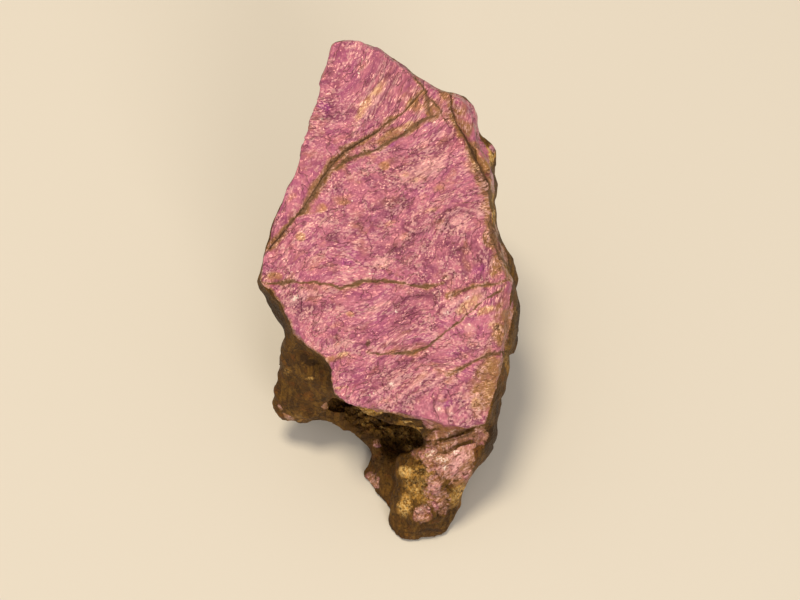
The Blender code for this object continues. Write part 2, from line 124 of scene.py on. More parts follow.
def line_distance(flat, line):
    """Distance of each flat place from a line of places, and on which side it lies (right is positive)."""
    nearest = np.full(len(flat), np.inf)
    side = np.zeros(len(flat))
    for start, end in zip(np.array(line), np.array(line)[1:]):
        run = end - start
        along = np.clip((flat - start) @ run / (run @ run), 0.0, 1.0)
        apart = flat - (start + along[:, None] * run)
        distance = np.hypot(apart[:, 0], apart[:, 1])
        closer = distance < nearest
        turn = run[1] * apart[:, 0] - run[0] * apart[:, 1]
        side[closer] = np.sign(turn[closer])
        nearest[closer] = distance[closer]
    return nearest, side


def depth_inside(flat, outline):
    """How far each flat place lies inside a closed outline; outside it the value is negative."""
    ring = list(outline) + [outline[0]]
    distance, _ = line_distance(flat, ring)
    inside = np.zeros(len(flat), dtype=bool)
    for (x0, y0), (x1, y1) in zip(ring, ring[1:]):
        straddles = (flat[:, 1] > y0) != (flat[:, 1] > y1)
        crossing = x0 + (flat[:, 1] - y0) * (x1 - x0) / (y1 - y0 if y1 != y0 else 1.0)
        inside ^= straddles & (flat[:, 0] < crossing)
    return np.where(inside, distance, -distance)


def ramp(values, low, high):
    """Rise smoothly from 0 at low to 1 at high."""
    share = np.clip((values - low) / (high - low), 0.0, 1.0)
    return share * share * (3.0 - 2.0 * share)


def fade(values, edges, unit=1.0):
    """Fall smoothly from 1 to 0 between two edges, which are given in a unit such as a half width."""
    return 1.0 - ramp(values, edges[0] * unit, edges[1] * unit)


def ovals(flat, rows):
    """The strongest of the ovals at each flat place: across, up, half length, half width, turn, strength."""
    strongest = np.zeros(len(flat))
    for across, up, half_length, half_width, turn_deg, strength in rows:
        cosine = math.cos(math.radians(turn_deg))
        sine = math.sin(math.radians(turn_deg))
        apart = flat - (across, up)
        along = (apart[:, 0] * cosine + apart[:, 1] * sine) / half_length
        beside = (apart[:, 1] * cosine - apart[:, 0] * sine) / half_width
        strongest = np.maximum(strongest, strength * fade(np.hypot(along, beside), OVAL_EDGE))
    return strongest


# %% The rim of the clean face
FACE_RIM = [
    (-3.42, 26.2), (-2.5, 26.45), (-1.7, 26.15), (-0.45, 25.45), (0.78, 24.62), (1.7, 23.99), (2.62, 23.6),
    (3.45, 23.42), (4.1, 22.85), (4.34, 22.0), (4.25, 21.32), (4.8, 20.9), (5.15, 20.3), (5.05, 19.3),
    (5.05, 17.9), (5.2, 16.69), (5.55, 15.5), (5.88, 14.2), (5.85, 13.16), (5.83, 12.01), (5.67, 10.82),
    (5.41, 9.52), (5.05, 8.22), (4.68, 7.02), (4.37, 6.19), (3.38, 5.98), (2.34, 5.93), (1.3, 6.34),
    (0.0, 6.6), (-1.3, 6.92), (-2.5, 7.23), (-3.28, 7.49), (-3.59, 7.96), (-3.59, 9.0), (-3.95, 9.62),
    (-4.78, 10.19), (-5.51, 10.76), (-5.77, 11.6), (-6.19, 12.48), (-6.76, 13.16), (-7.28, 13.52),
    (-7.3, 14.4), (-6.97, 15.6), (-6.7, 16.69), (-6.2, 17.94), (-5.66, 19.29), (-5.29, 20.7),
    (-4.95, 22.26), (-4.46, 23.92), (-3.94, 25.27),
]
print("the rim of the clean face is", round(line_length(FACE_RIM + FACE_RIM[:1]), 1), "mm round")

# %% The veins and cracks
# Half width of the core, depth of its groove, reach of the stain beside it and the stain's strength,
# and the places that the vein passes through.
VEINS = {
    "upper vein": (0.07, 0.03, 0.42, 0.95, [
        (1.2, 23.56), (0.62, 22.93), (0.1, 22.31), (-0.73, 21.79), (-1.46, 21.22), (-2.34, 20.75),
        (-2.96, 20.33), (-3.54, 19.76), (-4.06, 18.98), (-4.52, 18.15), (-5.04, 17.42), (-5.72, 16.69),
        (-6.29, 15.96), (-6.75, 15.34)]),
    "upper vein, wide stretch": (0.09, 0.035, 0.5, 1.0, [
        (-2.86, 20.28), (-3.54, 19.68), (-4.06, 18.9), (-4.52, 18.07), (-5.04, 17.34), (-5.72, 16.62)]),
    "lower vein": (0.06, 0.025, 0.34, 0.9, [
        (2.18, 22.36), (1.51, 22.1), (0.94, 21.79), (0.21, 21.27), (-0.57, 20.85), (-1.35, 20.44),
        (-1.98, 20.23), (-2.76, 19.92), (-3.33, 19.55), (-3.74, 19.29)]),
    "lower vein, wide end": (0.1, 0.04, 0.45, 1.0, [(-2.34, 20.1), (-3.02, 19.76), (-3.38, 19.48)]),
    "top crack": (0.06, 0.04, 0.4, 0.95, [
        (0.6, 24.5), (1.09, 23.87), (1.3, 23.45), (1.46, 22.93), (1.51, 22.41), (1.66, 22.1)]),
    "top right spur": (0.045, 0.03, 0.34, 0.95, [(1.3, 23.3), (1.72, 22.94), (2.05, 22.6), (2.18, 22.36)]),
    "main crack": (0.08, 0.06, 0.95, 1.0, [
        (2.7, 23.45), (2.65, 22.62), (2.86, 21.89), (3.28, 21.22), (3.64, 20.54), (3.9, 19.92),
        (4.37, 19.24), (4.68, 18.51), (4.78, 17.63), (4.73, 16.74), (4.78, 16.07), (5.1, 15.24),
        (5.46, 14.66), (5.72, 13.99)]),
    "waist": (0.06, 0.04, 0.28, 0.8, [
        (-7.18, 13.52), (-6.19, 13.52), (-5.36, 13.57), (-4.32, 13.52), (-3.64, 13.42), (-3.12, 13.23),
        (-2.55, 13.36), (-1.87, 13.62), (-0.88, 13.62), (0.1, 13.52), (0.83, 13.36), (1.61, 13.42),
        (2.24, 13.55)]),
    "waist's twin": (0.025, 0.02, 0.08, 0.3, [(-3.54, 13.54), (-2.91, 13.68), (-2.34, 13.68)]),
    "right waist": (0.045, 0.04, 0.32, 0.95, [
        (5.77, 13.73), (5.04, 13.52), (4.47, 13.47), (3.64, 13.31), (3.02, 13.05), (2.55, 12.8)]),
    "diagonal": (0.045, 0.05, 0.22, 0.65, [
        (5.56, 13.47), (5.2, 13.1), (4.52, 12.74), (3.8, 12.17), (3.02, 11.44), (2.18, 10.82), (1.56, 10.3),
        (0.73, 9.91), (-0.21, 9.88), (-1.14, 9.83), (-1.77, 9.93)]),
    "low seam": (0.055, 0.06, 0.34, 0.85, [
        (6.08, 10.09), (5.04, 9.88), (4.32, 9.67), (3.28, 9.15), (2.5, 8.79)]),
    "side branch": (0.03, 0.04, 0.12, 0.4, [(4.68, 16.74), (4.37, 16.02), (4.42, 15.5), (4.52, 15.24)]),
    "head fork": (0.035, 0.04, 0.2, 0.8, [(2.13, 22.83), (2.24, 22.26), (2.44, 21.84), (2.7, 21.79)]),
    "head's left line": (0.018, 0.03, 0.1, 0.2, [(-4.94, 22.0), (-4.2, 22.06), (-3.5, 22.08)]),
    "head's second line": (0.018, 0.03, 0.1, 0.2, [(-4.8, 22.46), (-4.1, 22.42), (-3.64, 22.5)]),
    "first hair crack": (0.022, 0.03, 0.1, 0.3, [
        (4.52, 17.68), (3.64, 17.73), (2.86, 17.68), (2.39, 17.52)]),
    "second hair crack": (0.018, 0.02, 0.1, 0.2, [
        (2.13, 18.36), (1.3, 17.89), (0.26, 17.37), (-0.78, 16.95)]),
    "lip's upper line": (0.07, 0.18, 0.16, 0.2, [(1.35, 5.2), (2.6, 5.55), (4.32, 6.14)]),
    "lip's lower line": (0.06, 0.16, 0.16, 0.2, [(1.61, 4.68), (2.6, 4.95), (3.48, 5.28)]),
    "lip's middle line": (0.04, 0.1, 0.12, 0.2, [(2.1, 5.12), (3.1, 5.42), (4.0, 5.8)]),
}
for name, (half_width, _, _, _, line) in VEINS.items():
    print(f"{name}: {line_length(line):.1f} mm long, {2 * half_width:.2f} mm wide")

# %% Ridges that catch the light
# Half width, height, and the places that the ridge runs through.
RIDGES = [
    (0.16, 0.12, [(-1.64, 7.56), (-0.49, 8.33), (0.18, 8.81)]),
    (0.15, 0.12, [(-0.49, 7.27), (0.57, 8.04), (1.82, 8.95)]),
    (0.15, 0.14, [(0.47, 7.56), (1.82, 8.42), (2.88, 9.0)]),
    (0.14, 0.1, [(1.82, 7.08), (2.39, 8.04), (2.78, 8.53)]),
    (0.14, 0.12, [(2.58, 6.79), (2.96, 7.56), (3.35, 8.23)]),
    (0.13, 0.1, [(3.54, 6.88), (4.03, 7.56)]),
    (0.2, 0.08, [(-0.6, 24.0), (-1.3, 23.1), (-2.03, 22.06), (-2.41, 21.29)]),
    (0.13, 0.12, [(1.91, 16.0), (2.39, 16.96), (3.07, 17.45), (4.2, 17.16)]),
    (0.1, 0.1, [(0.28, 16.48), (0.86, 16.15), (1.53, 16.48)]),
    (0.08, 0.08, [(-0.68, 16.96), (-0.1, 17.54)]),
    (0.06, 0.1, [(-0.87, 18.9), (-0.2, 18.74), (0.37, 18.67)]),
    (0.05, 0.08, [(-1.07, 19.3), (-0.1, 19.08)]),
    (0.16, 0.1, [(2.2, 12.0), (3.2, 12.7), (4.2, 13.2)]),
    (0.2, 0.1, [(-6.0, 12.6), (-5.3, 12.9), (-4.6, 13.05)]),
]
print(len(RIDGES), "ridges, up to", max(height for _, height, _ in RIDGES), "mm high")

# %% [markdown]
# ## A fine skin around the solid
#
# The solid has under ten thousand triangles, enough for its ledges and chips but not for fibres thinner
# than a hair. Its copy is merged, so that neighbouring triangles share their corners, and a voxel remesh
# lays an even grid of squares over it. The front is seen from closest by and has the finest work, so
# only there each square is split in four: that is cheaper than a fine grid all round.

# %% Copy the solid and lay an even grid over it
WELD = 0.002
SKIN_SPACING = 0.128


def through_modifier(mesh, kind, **settings):
    """The mesh as one modifier leaves it."""
    helper = put_in_scene("helper", mesh)
    modifier = helper.modifiers.new(kind.title(), kind)
    for name, value in settings.items():
        setattr(modifier, name, value)
    graph = bpy.context.evaluated_depsgraph_get()
    result = bpy.data.meshes.new_from_object(helper.evaluated_get(graph), depsgraph=graph)
    bpy.data.objects.remove(helper, do_unlink=True)
    bpy.data.meshes.remove(mesh)
    return result


bm = bmesh.new()
bm.from_mesh(solid.data)
bmesh.ops.transform(bm, matrix=to_face, verts=bm.verts[:])
bmesh.ops.remove_doubles(bm, verts=bm.verts[:], dist=WELD)
skin = bpy.data.meshes.new("purpurite_skin")
bm.to_mesh(skin)
bm.free()
print("merged copy:", len(skin.vertices), "points")
skin = through_modifier(skin, "REMESH", mode="VOXEL", voxel_size=SKIN_SPACING)
print("even grid:", len(skin.vertices), "points")

# %% Split the squares of the front in four
# The front is what looks forwards by more than this and isn't deeper behind the face than this.
SEEN_TILT = 0.12
SEEN_DEPTH = -6.5
# The face is ironed this far inside its rim, so that its own fine relief starts from a calm ground.
CALM_INSIDE = 0.30
CALM_DEPTH = -0.9
CALM_ROUNDS = 30
# The stair steps of the grid take two rounds, and the split squares one more.
GRID_ROUNDS = 2
SPLIT_ROUNDS = 1
SMOOTHING = 0.5


def smooth(bm, verts, rounds):
    """Even out the grid's stair steps, or the spikes of chips."""
    for _ in range(rounds):
        bmesh.ops.smooth_vert(bm, verts=verts, factor=SMOOTHING, use_axis_x=True, use_axis_y=True,
                              use_axis_z=True)


bm = bmesh.new()
bm.from_mesh(skin)
bm.normal_update()
smooth(bm, bm.verts[:], GRID_ROUNDS)
bm.normal_update()
front = [face for face in bm.faces
         if face.normal.z > SEEN_TILT and face.calc_center_median().z > SEEN_DEPTH]
front_edges = list({edge for face in front for edge in face.edges})
bmesh.ops.subdivide_edges(bm, edges=front_edges, cuts=1, use_grid_fill=True)
smooth(bm, [vert for vert in bm.verts if vert.normal.z > SEEN_TILT], SPLIT_ROUNDS)
flat = np.array([vert.co.to_2d() for vert in bm.verts])
well_inside = depth_inside(flat, FACE_RIM) > CALM_INSIDE
calmed = [vert for vert, inside in zip(bm.verts, well_inside)
          if inside and vert.normal.z > SEEN_TILT and vert.co.z > CALM_DEPTH]
smooth(bm, calmed, CALM_ROUNDS)
bm.to_mesh(skin)
bm.free()
skin.calc_loop_triangles()
print("finer front:", len(skin.vertices), "points and", len(skin.loop_triangles), "triangles")

# %% [markdown]
# ## Where everything is
#
# Each point of the skin now learns what it is part of. The clean face is what lies inside its rim, near
# the face's plane and looking forwards. The parts below and behind it look smaller from the front, so a
# mark on them is placed as it looks from there, which one factor per point undoes.

# %% Read the skin's places
count = len(skin.vertices)


def read_points(what):
    """Three values for each point of the skin, such as its place or its normal."""
    values = np.empty(count * 3)
    skin.vertices.foreach_get(what, values)
    return values.reshape(-1, 3)


places = read_points("co")
normals = read_points("normal")
nearness = EYE_DISTANCE / (EYE_DISTANCE - places[:, 2])
eye = np.array(EYE_PLACE)
seen = eye + (places[:, :2] - eye) * nearness[:, None]
print("the farthest point looks", round(float(nearness.min()), 2), "times as large as the face's")


def wobble(points, size, height, start):
    """A soft random value at each point, of about this size and height; another start gives another one."""
    shift = Vector((start, 2.0 * start, 3.0 * start))
    return np.array([noise.noise(Vector(point) / size + shift) for point in points]) * height


def stray(size, height, starts):
    """How far a line drawn on the skin strays at each point, across and up."""
    return np.column_stack([wobble(places, size, height, start) for start in starts])


# %% The share of clean face
RIM_SOFTNESS = 0.10
# The face looks forwards and lies near its plane: each pair is where that begins and is complete.
FORWARD = (0.14, 0.40)
FACE_DEPTH = (-1.5, -0.9)
# The rim is ragged: over this size, and aside by this much.
RAGGED_RIM = (0.45, 0.09)

rim_depth = depth_inside(seen + stray(*RAGGED_RIM, starts=(3.1, 8.7)), FACE_RIM)
forward = ramp(normals[:, 2], *FORWARD)
face_share = ramp(rim_depth, -RIM_SOFTNESS, RIM_SOFTNESS) * forward * ramp(places[:, 2], *FACE_DEPTH)
print("clean face:", round(100 * float((face_share > 0.5).mean())), "% of the points")

# %% Veins: how near the core is, and how strong the stain
# Ovals of stain where it is wider than a vein's own.
WIDE_STAINS = [
    (0.7, 22.3, 0.9, 0.35, 30, 0.5), (2.95, 21.6, 0.8, 0.22, 118, 0.8), (-1.0, 21.05, 1.8, 0.26, 32, 0.6),
    (3.6, 20.6, 0.9, 0.3, 118, 0.9), (4.05, 19.55, 1.1, 0.45, 118, 0.95), (4.25, 19.1, 1.0, 0.5, 112, 1.0),
    (4.55, 18.1, 0.4, 0.9, 0, 0.8), (-5.5, 17.2, 0.7, 0.3, 52, 0.5), (4.4, 17.1, 0.45, 1.2, 0, 0.55),
    (5.1, 14.2, 0.8, 0.5, 60, 0.8), (-6.75, 13.95, 0.45, 0.35, 0, 0.7), (4.95, 13.6, 0.8, 0.3, 10, 0.7),
    (5.35, 11.8, 0.32, 1.4, 4, 0.75), (5.35, 11.4, 0.7, 1.8, 0, 1.0), (-0.7, 9.95, 1.0, 0.2, 0, 0.55),
    (-3.2, 9.55, 0.9, 0.16, 12, 0.5), (4.75, 9.0, 0.5, 2.0, 6, 0.75), (4.6, 8.3, 0.95, 1.8, -12, 1.3),
    (4.1, 6.8, 0.4, 0.6, -30, 0.5),
]
# The rim of the face is stained too: how strongly, and how deep inside the rim that fades.
RIM_STAIN = 0.85
RIM_STAIN_REACH = (0.02, 0.20)
# A vein wanders over this size by this much, and its width swells over this size by this share.
VEIN_WANDER = (0.35, 0.07)
VEIN_SWELL = (0.70, 0.9)
THINNEST_VEIN = 0.35
# It tapers to this share of its width over this length at each end.
END_WIDTH = 0.3
VEIN_TAPER = 1.1
# Its groove is full and fades out at these multiples of its half width.
GROOVE_EDGE = (0.2, 2.2)
# Past so many half widths from every core it no longer counts how far away a vein is.
FAR_FROM_VEINS = 6.0

drawn = seen + stray(*VEIN_WANDER, starts=(1.3, 5.9))
swell = np.clip(1.0 + wobble(places, *VEIN_SWELL, start=7.7), THINNEST_VEIN, None)
vein = np.full(count, FAR_FROM_VEINS)
stain = np.zeros(count)
groove = np.zeros(count)
for half_width, depth, reach, strength, line in VEINS.values():
    distance, _ = line_distance(drawn, line)
    to_end = np.minimum(*(np.hypot(*(drawn - line[end]).T) for end in (0, -1)))
    thickness = half_width * swell * (END_WIDTH + (1.0 - END_WIDTH) * ramp(to_end, 0.0, VEIN_TAPER))
    vein = np.minimum(vein, distance / thickness)
    stain = np.maximum(stain, strength * fade(distance, (0.0, reach), swell))
    groove = np.maximum(groove, depth * fade(distance, GROOVE_EDGE, thickness))
stain = np.maximum(stain, ovals(drawn, WIDE_STAINS))
stain = np.maximum(stain, RIM_STAIN * fade(rim_depth, RIM_STAIN_REACH))
print("points in the core of a vein:", int((vein < 1.0).sum()))

# %% [markdown]
# ## Which way the fibres run
#
# The face isn't one flat sheet. The veins part it into blocks, and in each block the cleavage fibres run
# their own way. So every point gets a place of its own along and across the fibres. The relief reads it
# here, and the material reads it later, so that grooves and colours follow the same fibres.

# %% Blocks of fibres
# The way that the fibres run in degrees, and the line on whose right side, seen along it, the block lies.
MAIN_WAY_DEG = 32.0
BLOCKS = [
    (54.0, [(1.6, 28.0), (1.2, 23.56), (0.1, 22.31), (-1.46, 21.22), (-2.96, 20.33), (-4.06, 18.98),
            (-5.04, 17.42), (-6.75, 15.34), (-9.0, 13.4)]),
    (74.0, [(7.0, 12.0), (5.72, 13.99), (4.73, 16.74), (4.68, 18.51), (3.28, 21.22), (2.65, 22.62),
            (2.7, 27.0)]),
]
# The fibres bend softly: over this size, and aside by this much.
FIBRE_BEND = (5.0, 1.6)

way = np.full(count, MAIN_WAY_DEG)
for degrees, line in BLOCKS:
    _, side = line_distance(seen, line)
    way = np.where(side > 0.0, degrees, way)
    print(f"fibres at {degrees:.0f} degrees:", round(100 * float((side > 0.0).mean())), "% of the points")
way = np.radians(way)
bent = places.copy()
bent[:, :2] += stray(*FIBRE_BEND, starts=(2.2, 6.1))
grain = np.column_stack([
    bent[:, 0] * np.cos(way) + bent[:, 1] * np.sin(way),
    bent[:, 1] * np.cos(way) - bent[:, 0] * np.sin(way),
    bent[:, 2],
])

# %% [markdown]
# ## Relief
#
# On the clean face the cleavage leaves flat facets that tilt by a few degrees, soft fibres, low terraces
# where a sheet has come off, and a few ridges. The crust is lumpy and chipped, and crumbly in the gully
# and on the foot, and the veins are cut in as grooves. All of it could be sculpted by hand or read from a
# picture, but noise and drawn lines keep every size in millimetres. Each is a height, and one move along
# the normals applies them together.

# %% Heights of the clean face
# Width across the fibres, height, and how many times longer a fibre is than wide.
FIBRES = [(1.60, 0.050, 1.8), (0.60, 0.020, 1.8)]
# Size of a cleavage facet, its slope, and how many times longer it is than wide.
FACETS = [(1.50, 0.16, 1.6), (0.62, 0.22, 1.5), (0.30, 0.24, 1.4)]
# Facets blend into each other over this share of their size.
FACET_RAMP = 0.09
# Length and width of a terrace, how many levels there are, and the height and the edge of a step.
TERRACE_SIZE = (3.6, 1.8)
TERRACE_COUNT = 4.0
TERRACE_HEIGHT = 0.040
TERRACE_EDGE = (0.36, 0.64)
# A cell's random value is read at its middle times this, so that neighbours have nothing in common.
CELL_SHUFFLE = 7.3
HALF_CELL = Vector((0.5, 0.5, 0.5))
# In half widths of a ridge: its slope, and the edges of the highlight painted on its crest and of the shade
# painted beside it.
RIDGE_SLOPE = (0.0, 1.6)
CREST_EDGE = (0.3, 1.3)
BESIDE_EDGE = (1.5, 3.0)


def between_cells(point, blend, value_of):
    """The value of the cell that a point lies in, blended with its neighbour's where they meet."""
    distances, middles = noise.voronoi(point)
    first, second = (value_of(middle) for middle in middles[:2])
    share = 0.5 * math.exp(-(distances[1] - distances[0]) / blend)
    return first * (1.0 - share) + second * share


def faceted(point):
    """Height of one layer of facets: each cell is a flat that tilts its own way."""
    def tilted(middle):
        return (noise.cell_vector(middle * CELL_SHUFFLE) - HALF_CELL).dot(point - middle)
    return between_cells(point, FACET_RAMP, tilted)


def fibres(points):
    """Height of the cleavage fibres at each point."""
    total = np.zeros(len(points))
    for turn, (size, height, stretch) in enumerate(FIBRES):
        total += wobble(points / (stretch, 1.0, 1.0), size, height, start=2.7 * turn)
    return total


def facets(points):
    """Height of all the layers of facets at each point."""
    total = np.zeros(len(points))
    for size, slope, stretch in FACETS:
        scaled = points / (size * stretch, size, size)
        total += slope * size * np.array([faceted(Vector(point)) for point in scaled])
    return total


def terraces(points):
    """Height of the flat steps that the cleavage breaks off in."""
    length, width = TERRACE_SIZE
    level = wobble(points / (length / width, 1.0, 1.0), width, TERRACE_COUNT, start=4.4)
    return TERRACE_HEIGHT * (np.floor(level) + ramp(level - np.floor(level), *TERRACE_EDGE))


# Besides its height, each ridge gets a painted highlight on its crest and a strip of painted shade beside
# it.
ridge = np.zeros(count)
crest_highlight = np.zeros(count)
beside = np.zeros(count)
for half_width, height, line in RIDGES:
    distance, _ = line_distance(drawn, line)
    ridge = np.maximum(ridge, height * fade(distance, RIDGE_SLOPE, half_width))
    crest_highlight = np.maximum(crest_highlight, fade(distance, CREST_EDGE, half_width))
    beside = np.maximum(beside, fade(distance, BESIDE_EDGE, half_width))
face_height = fibres(grain) + facets(grain) + terraces(grain) + ridge
print("face relief:", round(float(np.ptp(face_height[face_share > 0.5])), 3), "mm")

# %% Heights of the crust
# Size and height of the lumps, and of the chips that broke off between them.
LUMPS = [(1.30, 0.060), (0.60, 0.025), (0.28, 0.016)]
CRUST_CHIPS = [(0.95, 0.030), (0.45, 0.018)]
CHIP_RAMP = 0.10
# Where the break is crumbly, it has lumps and chips of its own, as far as it looks forwards.
RUBBLE = [
    (-2.6, 6.9, 1.2, 0.5, -25, 0.8), (-0.9, 6.1, 2.2, 0.75, -10, 1.0), (0.2, 5.4, 1.5, 0.6, 0, 1.0),
    (1.4, 3.1, 1.9, 2.4, 0, 1.0),
]
RUBBLE_LUMPS = (0.46, 0.130)
RUBBLE_CHIPS = [(0.42, 0.120), (0.20, 0.050)]
RUBBLE_FORWARD = (-0.1, 0.4)
# The right flank swells by so many millimetres below the waist, where it looks to the right.
BULGES = [(6.1, 11.5, 2.2, 0.8, 90, 0.15)]
BULGE_TO_THE_RIGHT = (0.2, 0.7)


def chips(size, height):
    """Height of one layer of chips: each is level, with a short ramp down to the next."""
    def own_level(middle):
        return noise.cell(middle * CELL_SHUFFLE)
    levels = [between_cells(Vector(place) / size, CHIP_RAMP, own_level) for place in places]
    return height * (2.0 * np.array(levels) - 1.0)


crust_height = np.zeros(count)
for turn, (size, height) in enumerate(LUMPS):
    crust_height += wobble(places, size, height, start=1.9 * turn)
for layer in CRUST_CHIPS:
    crust_height += chips(*layer)
rubble = wobble(places, *RUBBLE_LUMPS, start=9.3)
for layer in RUBBLE_CHIPS:
    rubble += chips(*layer)
rubble_share = ovals(seen, RUBBLE) * ramp(normals[:, 2], *RUBBLE_FORWARD)
bulge = ovals(seen, BULGES) * ramp(normals[:, 0], *BULGE_TO_THE_RIGHT)
print("crust relief:", round(float(np.ptp(crust_height)), 3), "mm, and rubble:",
      round(float(np.ptp(rubble)), 3), "mm")

# %% Move the skin
# The crust is lower where it looks forwards, and lowest beside the face, whose outline stays crisp.
FORWARD_CRUST = 0.7
CRUST_BY_FACE = 0.6
NEAR_FACE = (1.6, 3.4)
# Where the crust turns a sharp edge its chips would stand up as spikes, so they are smoothed a little.
SPIKE_ROUNDS = 2

by_the_face = fade(-places[:, 2], NEAR_FACE)
calm = 1.0 - (1.0 - FORWARD_CRUST) * np.clip(normals[:, 2], 0.0, 1.0)
calm *= 1.0 - (1.0 - CRUST_BY_FACE) * by_the_face
crust_height = crust_height * calm + rubble * rubble_share + bulge
height = face_height * face_share + crust_height * (1.0 - face_share)
lift = height - groove * forward
skin.vertices.foreach_set("co", (places + normals * lift[:, None]).ravel())
skin.update()

bm = bmesh.new()
bm.from_mesh(skin)
bm.verts.ensure_lookup_table()
smooth(bm, [bm.verts[index] for index in np.flatnonzero(face_share < 0.5)], SPIKE_ROUNDS)
bm.to_mesh(skin)
bm.free()
print("the skin moved by", round(float(lift.min()), 3), "to", round(float(lift.max()), 3), "mm")

# %% [markdown]
# ## Colour zones
#
# The face is not one purple. Some patches are deeper or more magenta, some are dusted with gold-brown
# oxide or filmed with olive, and some are pale, partly finely split stone and partly painted sheen. The
# largest glints are painted highlights with places of their own. The crust has purple patches where clean
# stone shows, ochre spots, and dark hollows painted partly as oxide and partly as shade.
# Each patch is one soft oval, and the material breaks its edge up with noise. Stored on
# the skin as an attribute, it stays where it is from any side.

# %% Patches of the face
# Every table runs from the head down: across, up, half length, half width, turn in degrees, strength.
GOLD = [
    (-1.6, 22.95, 1.7, 0.34, 53, 0.8), (2.2, 22.9, 0.3, 0.5, 0, 0.6), (0.83, 22.75, 0.55, 0.35, -20, 0.9),
    (2.85, 21.9, 0.7, 0.18, 120, 1.0), (0.3, 21.5, 0.5, 0.22, 25, 1.0), (-0.26, 21.3, 2.0, 0.3, 32, 0.9),
    (3.1, 21.3, 0.6, 0.3, 150, 0.6), (4.2, 19.75, 1.0, 0.45, 120, 1.0), (-0.83, 19.6, 0.4, 0.3, 0, 0.8),
    (0.1, 19.2, 0.7, 0.3, 0, 0.6), (0.9, 18.9, 0.8, 0.25, 20, 0.5), (2.4, 18.6, 1.2, 0.3, 20, 0.5),
    (-2.9, 17.7, 0.45, 0.22, 5, 0.7), (-4.06, 17.45, 0.45, 0.32, 20, 0.9), (1.6, 17.3, 0.7, 0.25, 20, 0.6),
    (-0.6, 16.6, 0.8, 0.25, 20, 0.4), (-5.2, 15.9, 0.3, 0.35, 60, 0.9), (5.0, 13.9, 0.4, 0.3, 0, 0.9),
    (-6.6, 13.85, 0.6, 0.3, 0, 0.9), (3.6, 12.4, 1.2, 0.45, 35, 0.6), (4.47, 12.1, 0.6, 0.28, 25, 1.0),
    (-2.6, 11.9, 0.35, 0.22, 0, 0.7), (4.9, 11.3, 0.7, 0.6, 30, 0.6), (-3.3, 9.7, 0.9, 0.22, 15, 0.8),
    (4.7, 8.3, 0.5, 1.5, 0, 0.7), (-3.1, 8.1, 0.6, 0.16, 0, 0.8), (3.9, 7.3, 0.3, 0.4, -30, 0.8),
]
MAGENTA = [
    (-2.45, 24.6, 0.2, 0.16, 0, 1.0), (-4.0, 22.55, 0.5, 0.5, 0, 1.0), (3.6, 22.3, 0.3, 0.6, 20, 0.6),
    (1.46, 21.9, 0.4, 0.22, 30, 1.0), (-0.6, 20.65, 1.2, 0.2, 32, 0.8), (0.6, 18.2, 1.0, 0.3, 10, 0.5),
    (-4.7, 17.8, 0.45, 0.3, 40, 0.7), (-1.2, 17.2, 1.1, 0.45, 30, 0.5), (-2.6, 14.8, 0.9, 0.4, 40, 1.0),
    (4.1, 14.2, 0.6, 0.45, 60, 0.8), (0.6, 10.6, 1.0, 0.35, 5, 0.7), (3.0, 10.0, 0.9, 0.35, 20, 0.7),
    (-2.0, 9.9, 0.8, 0.25, 10, 0.5), (3.3, 9.0, 0.5, 0.25, 30, 0.6), (2.6, 7.3, 0.7, 0.25, 20, 0.7),
]
# Pale patches: partly finely split stone and partly painted sheen where the face caught the light.
PALE_AND_SHEEN = [
    (-1.8, 23.0, 1.0, 0.35, 57, 0.6), (-1.5, 22.9, 1.8, 0.45, 53, 1.0), (-0.9, 20.4, 0.6, 0.16, 10, 0.9),
    (1.3, 19.4, 1.9, 0.7, 25, 1.0), (1.1, 17.3, 0.8, 0.4, 20, 0.6), (-3.8, 16.7, 0.9, 0.35, 0, 0.6),
    (3.0, 16.6, 1.0, 0.5, 35, 0.8), (-5.0, 16.3, 0.8, 0.25, 45, 0.9), (-6.0, 14.9, 0.35, 0.6, 10, 0.6),
    (-0.9, 14.6, 0.9, 0.4, 15, 0.9), (3.7, 12.9, 1.0, 0.3, 35, 1.0), (-5.36, 12.7, 0.8, 0.35, 30, 1.0),
    (3.8, 12.5, 1.2, 0.5, 35, 0.9), (-1.14, 12.3, 1.6, 0.45, 5, 0.7), (4.5, 12.2, 0.6, 0.25, 20, 0.9),
    (-4.2, 11.3, 0.6, 0.5, 0, 0.7), (3.6, 11.2, 0.35, 0.3, 0, 1.0), (-3.2, 10.3, 1.3, 0.25, 20, 0.8),
    (1.0, 8.5, 0.8, 0.22, 45, 0.9), (-0.3, 8.3, 0.7, 0.35, 30, 1.0), (3.6, 7.6, 0.5, 0.5, 0, 0.7),
    (2.1, 7.0, 0.25, 0.45, -20, 0.9), (2.8, 5.6, 1.6, 0.3, 18, 0.7), (3.3, 4.8, 0.6, 0.5, 0, 0.9),
    (2.2, 4.7, 1.0, 0.45, -15, 1.0), (2.3, 4.3, 1.5, 1.1, -30, 1.3), (2.18, 4.2, 0.9, 0.55, -20, 1.0),
    (1.75, 3.1, 0.5, 0.6, 0, 0.9), (1.15, 1.7, 0.6, 0.4, 0, 1.0),
]
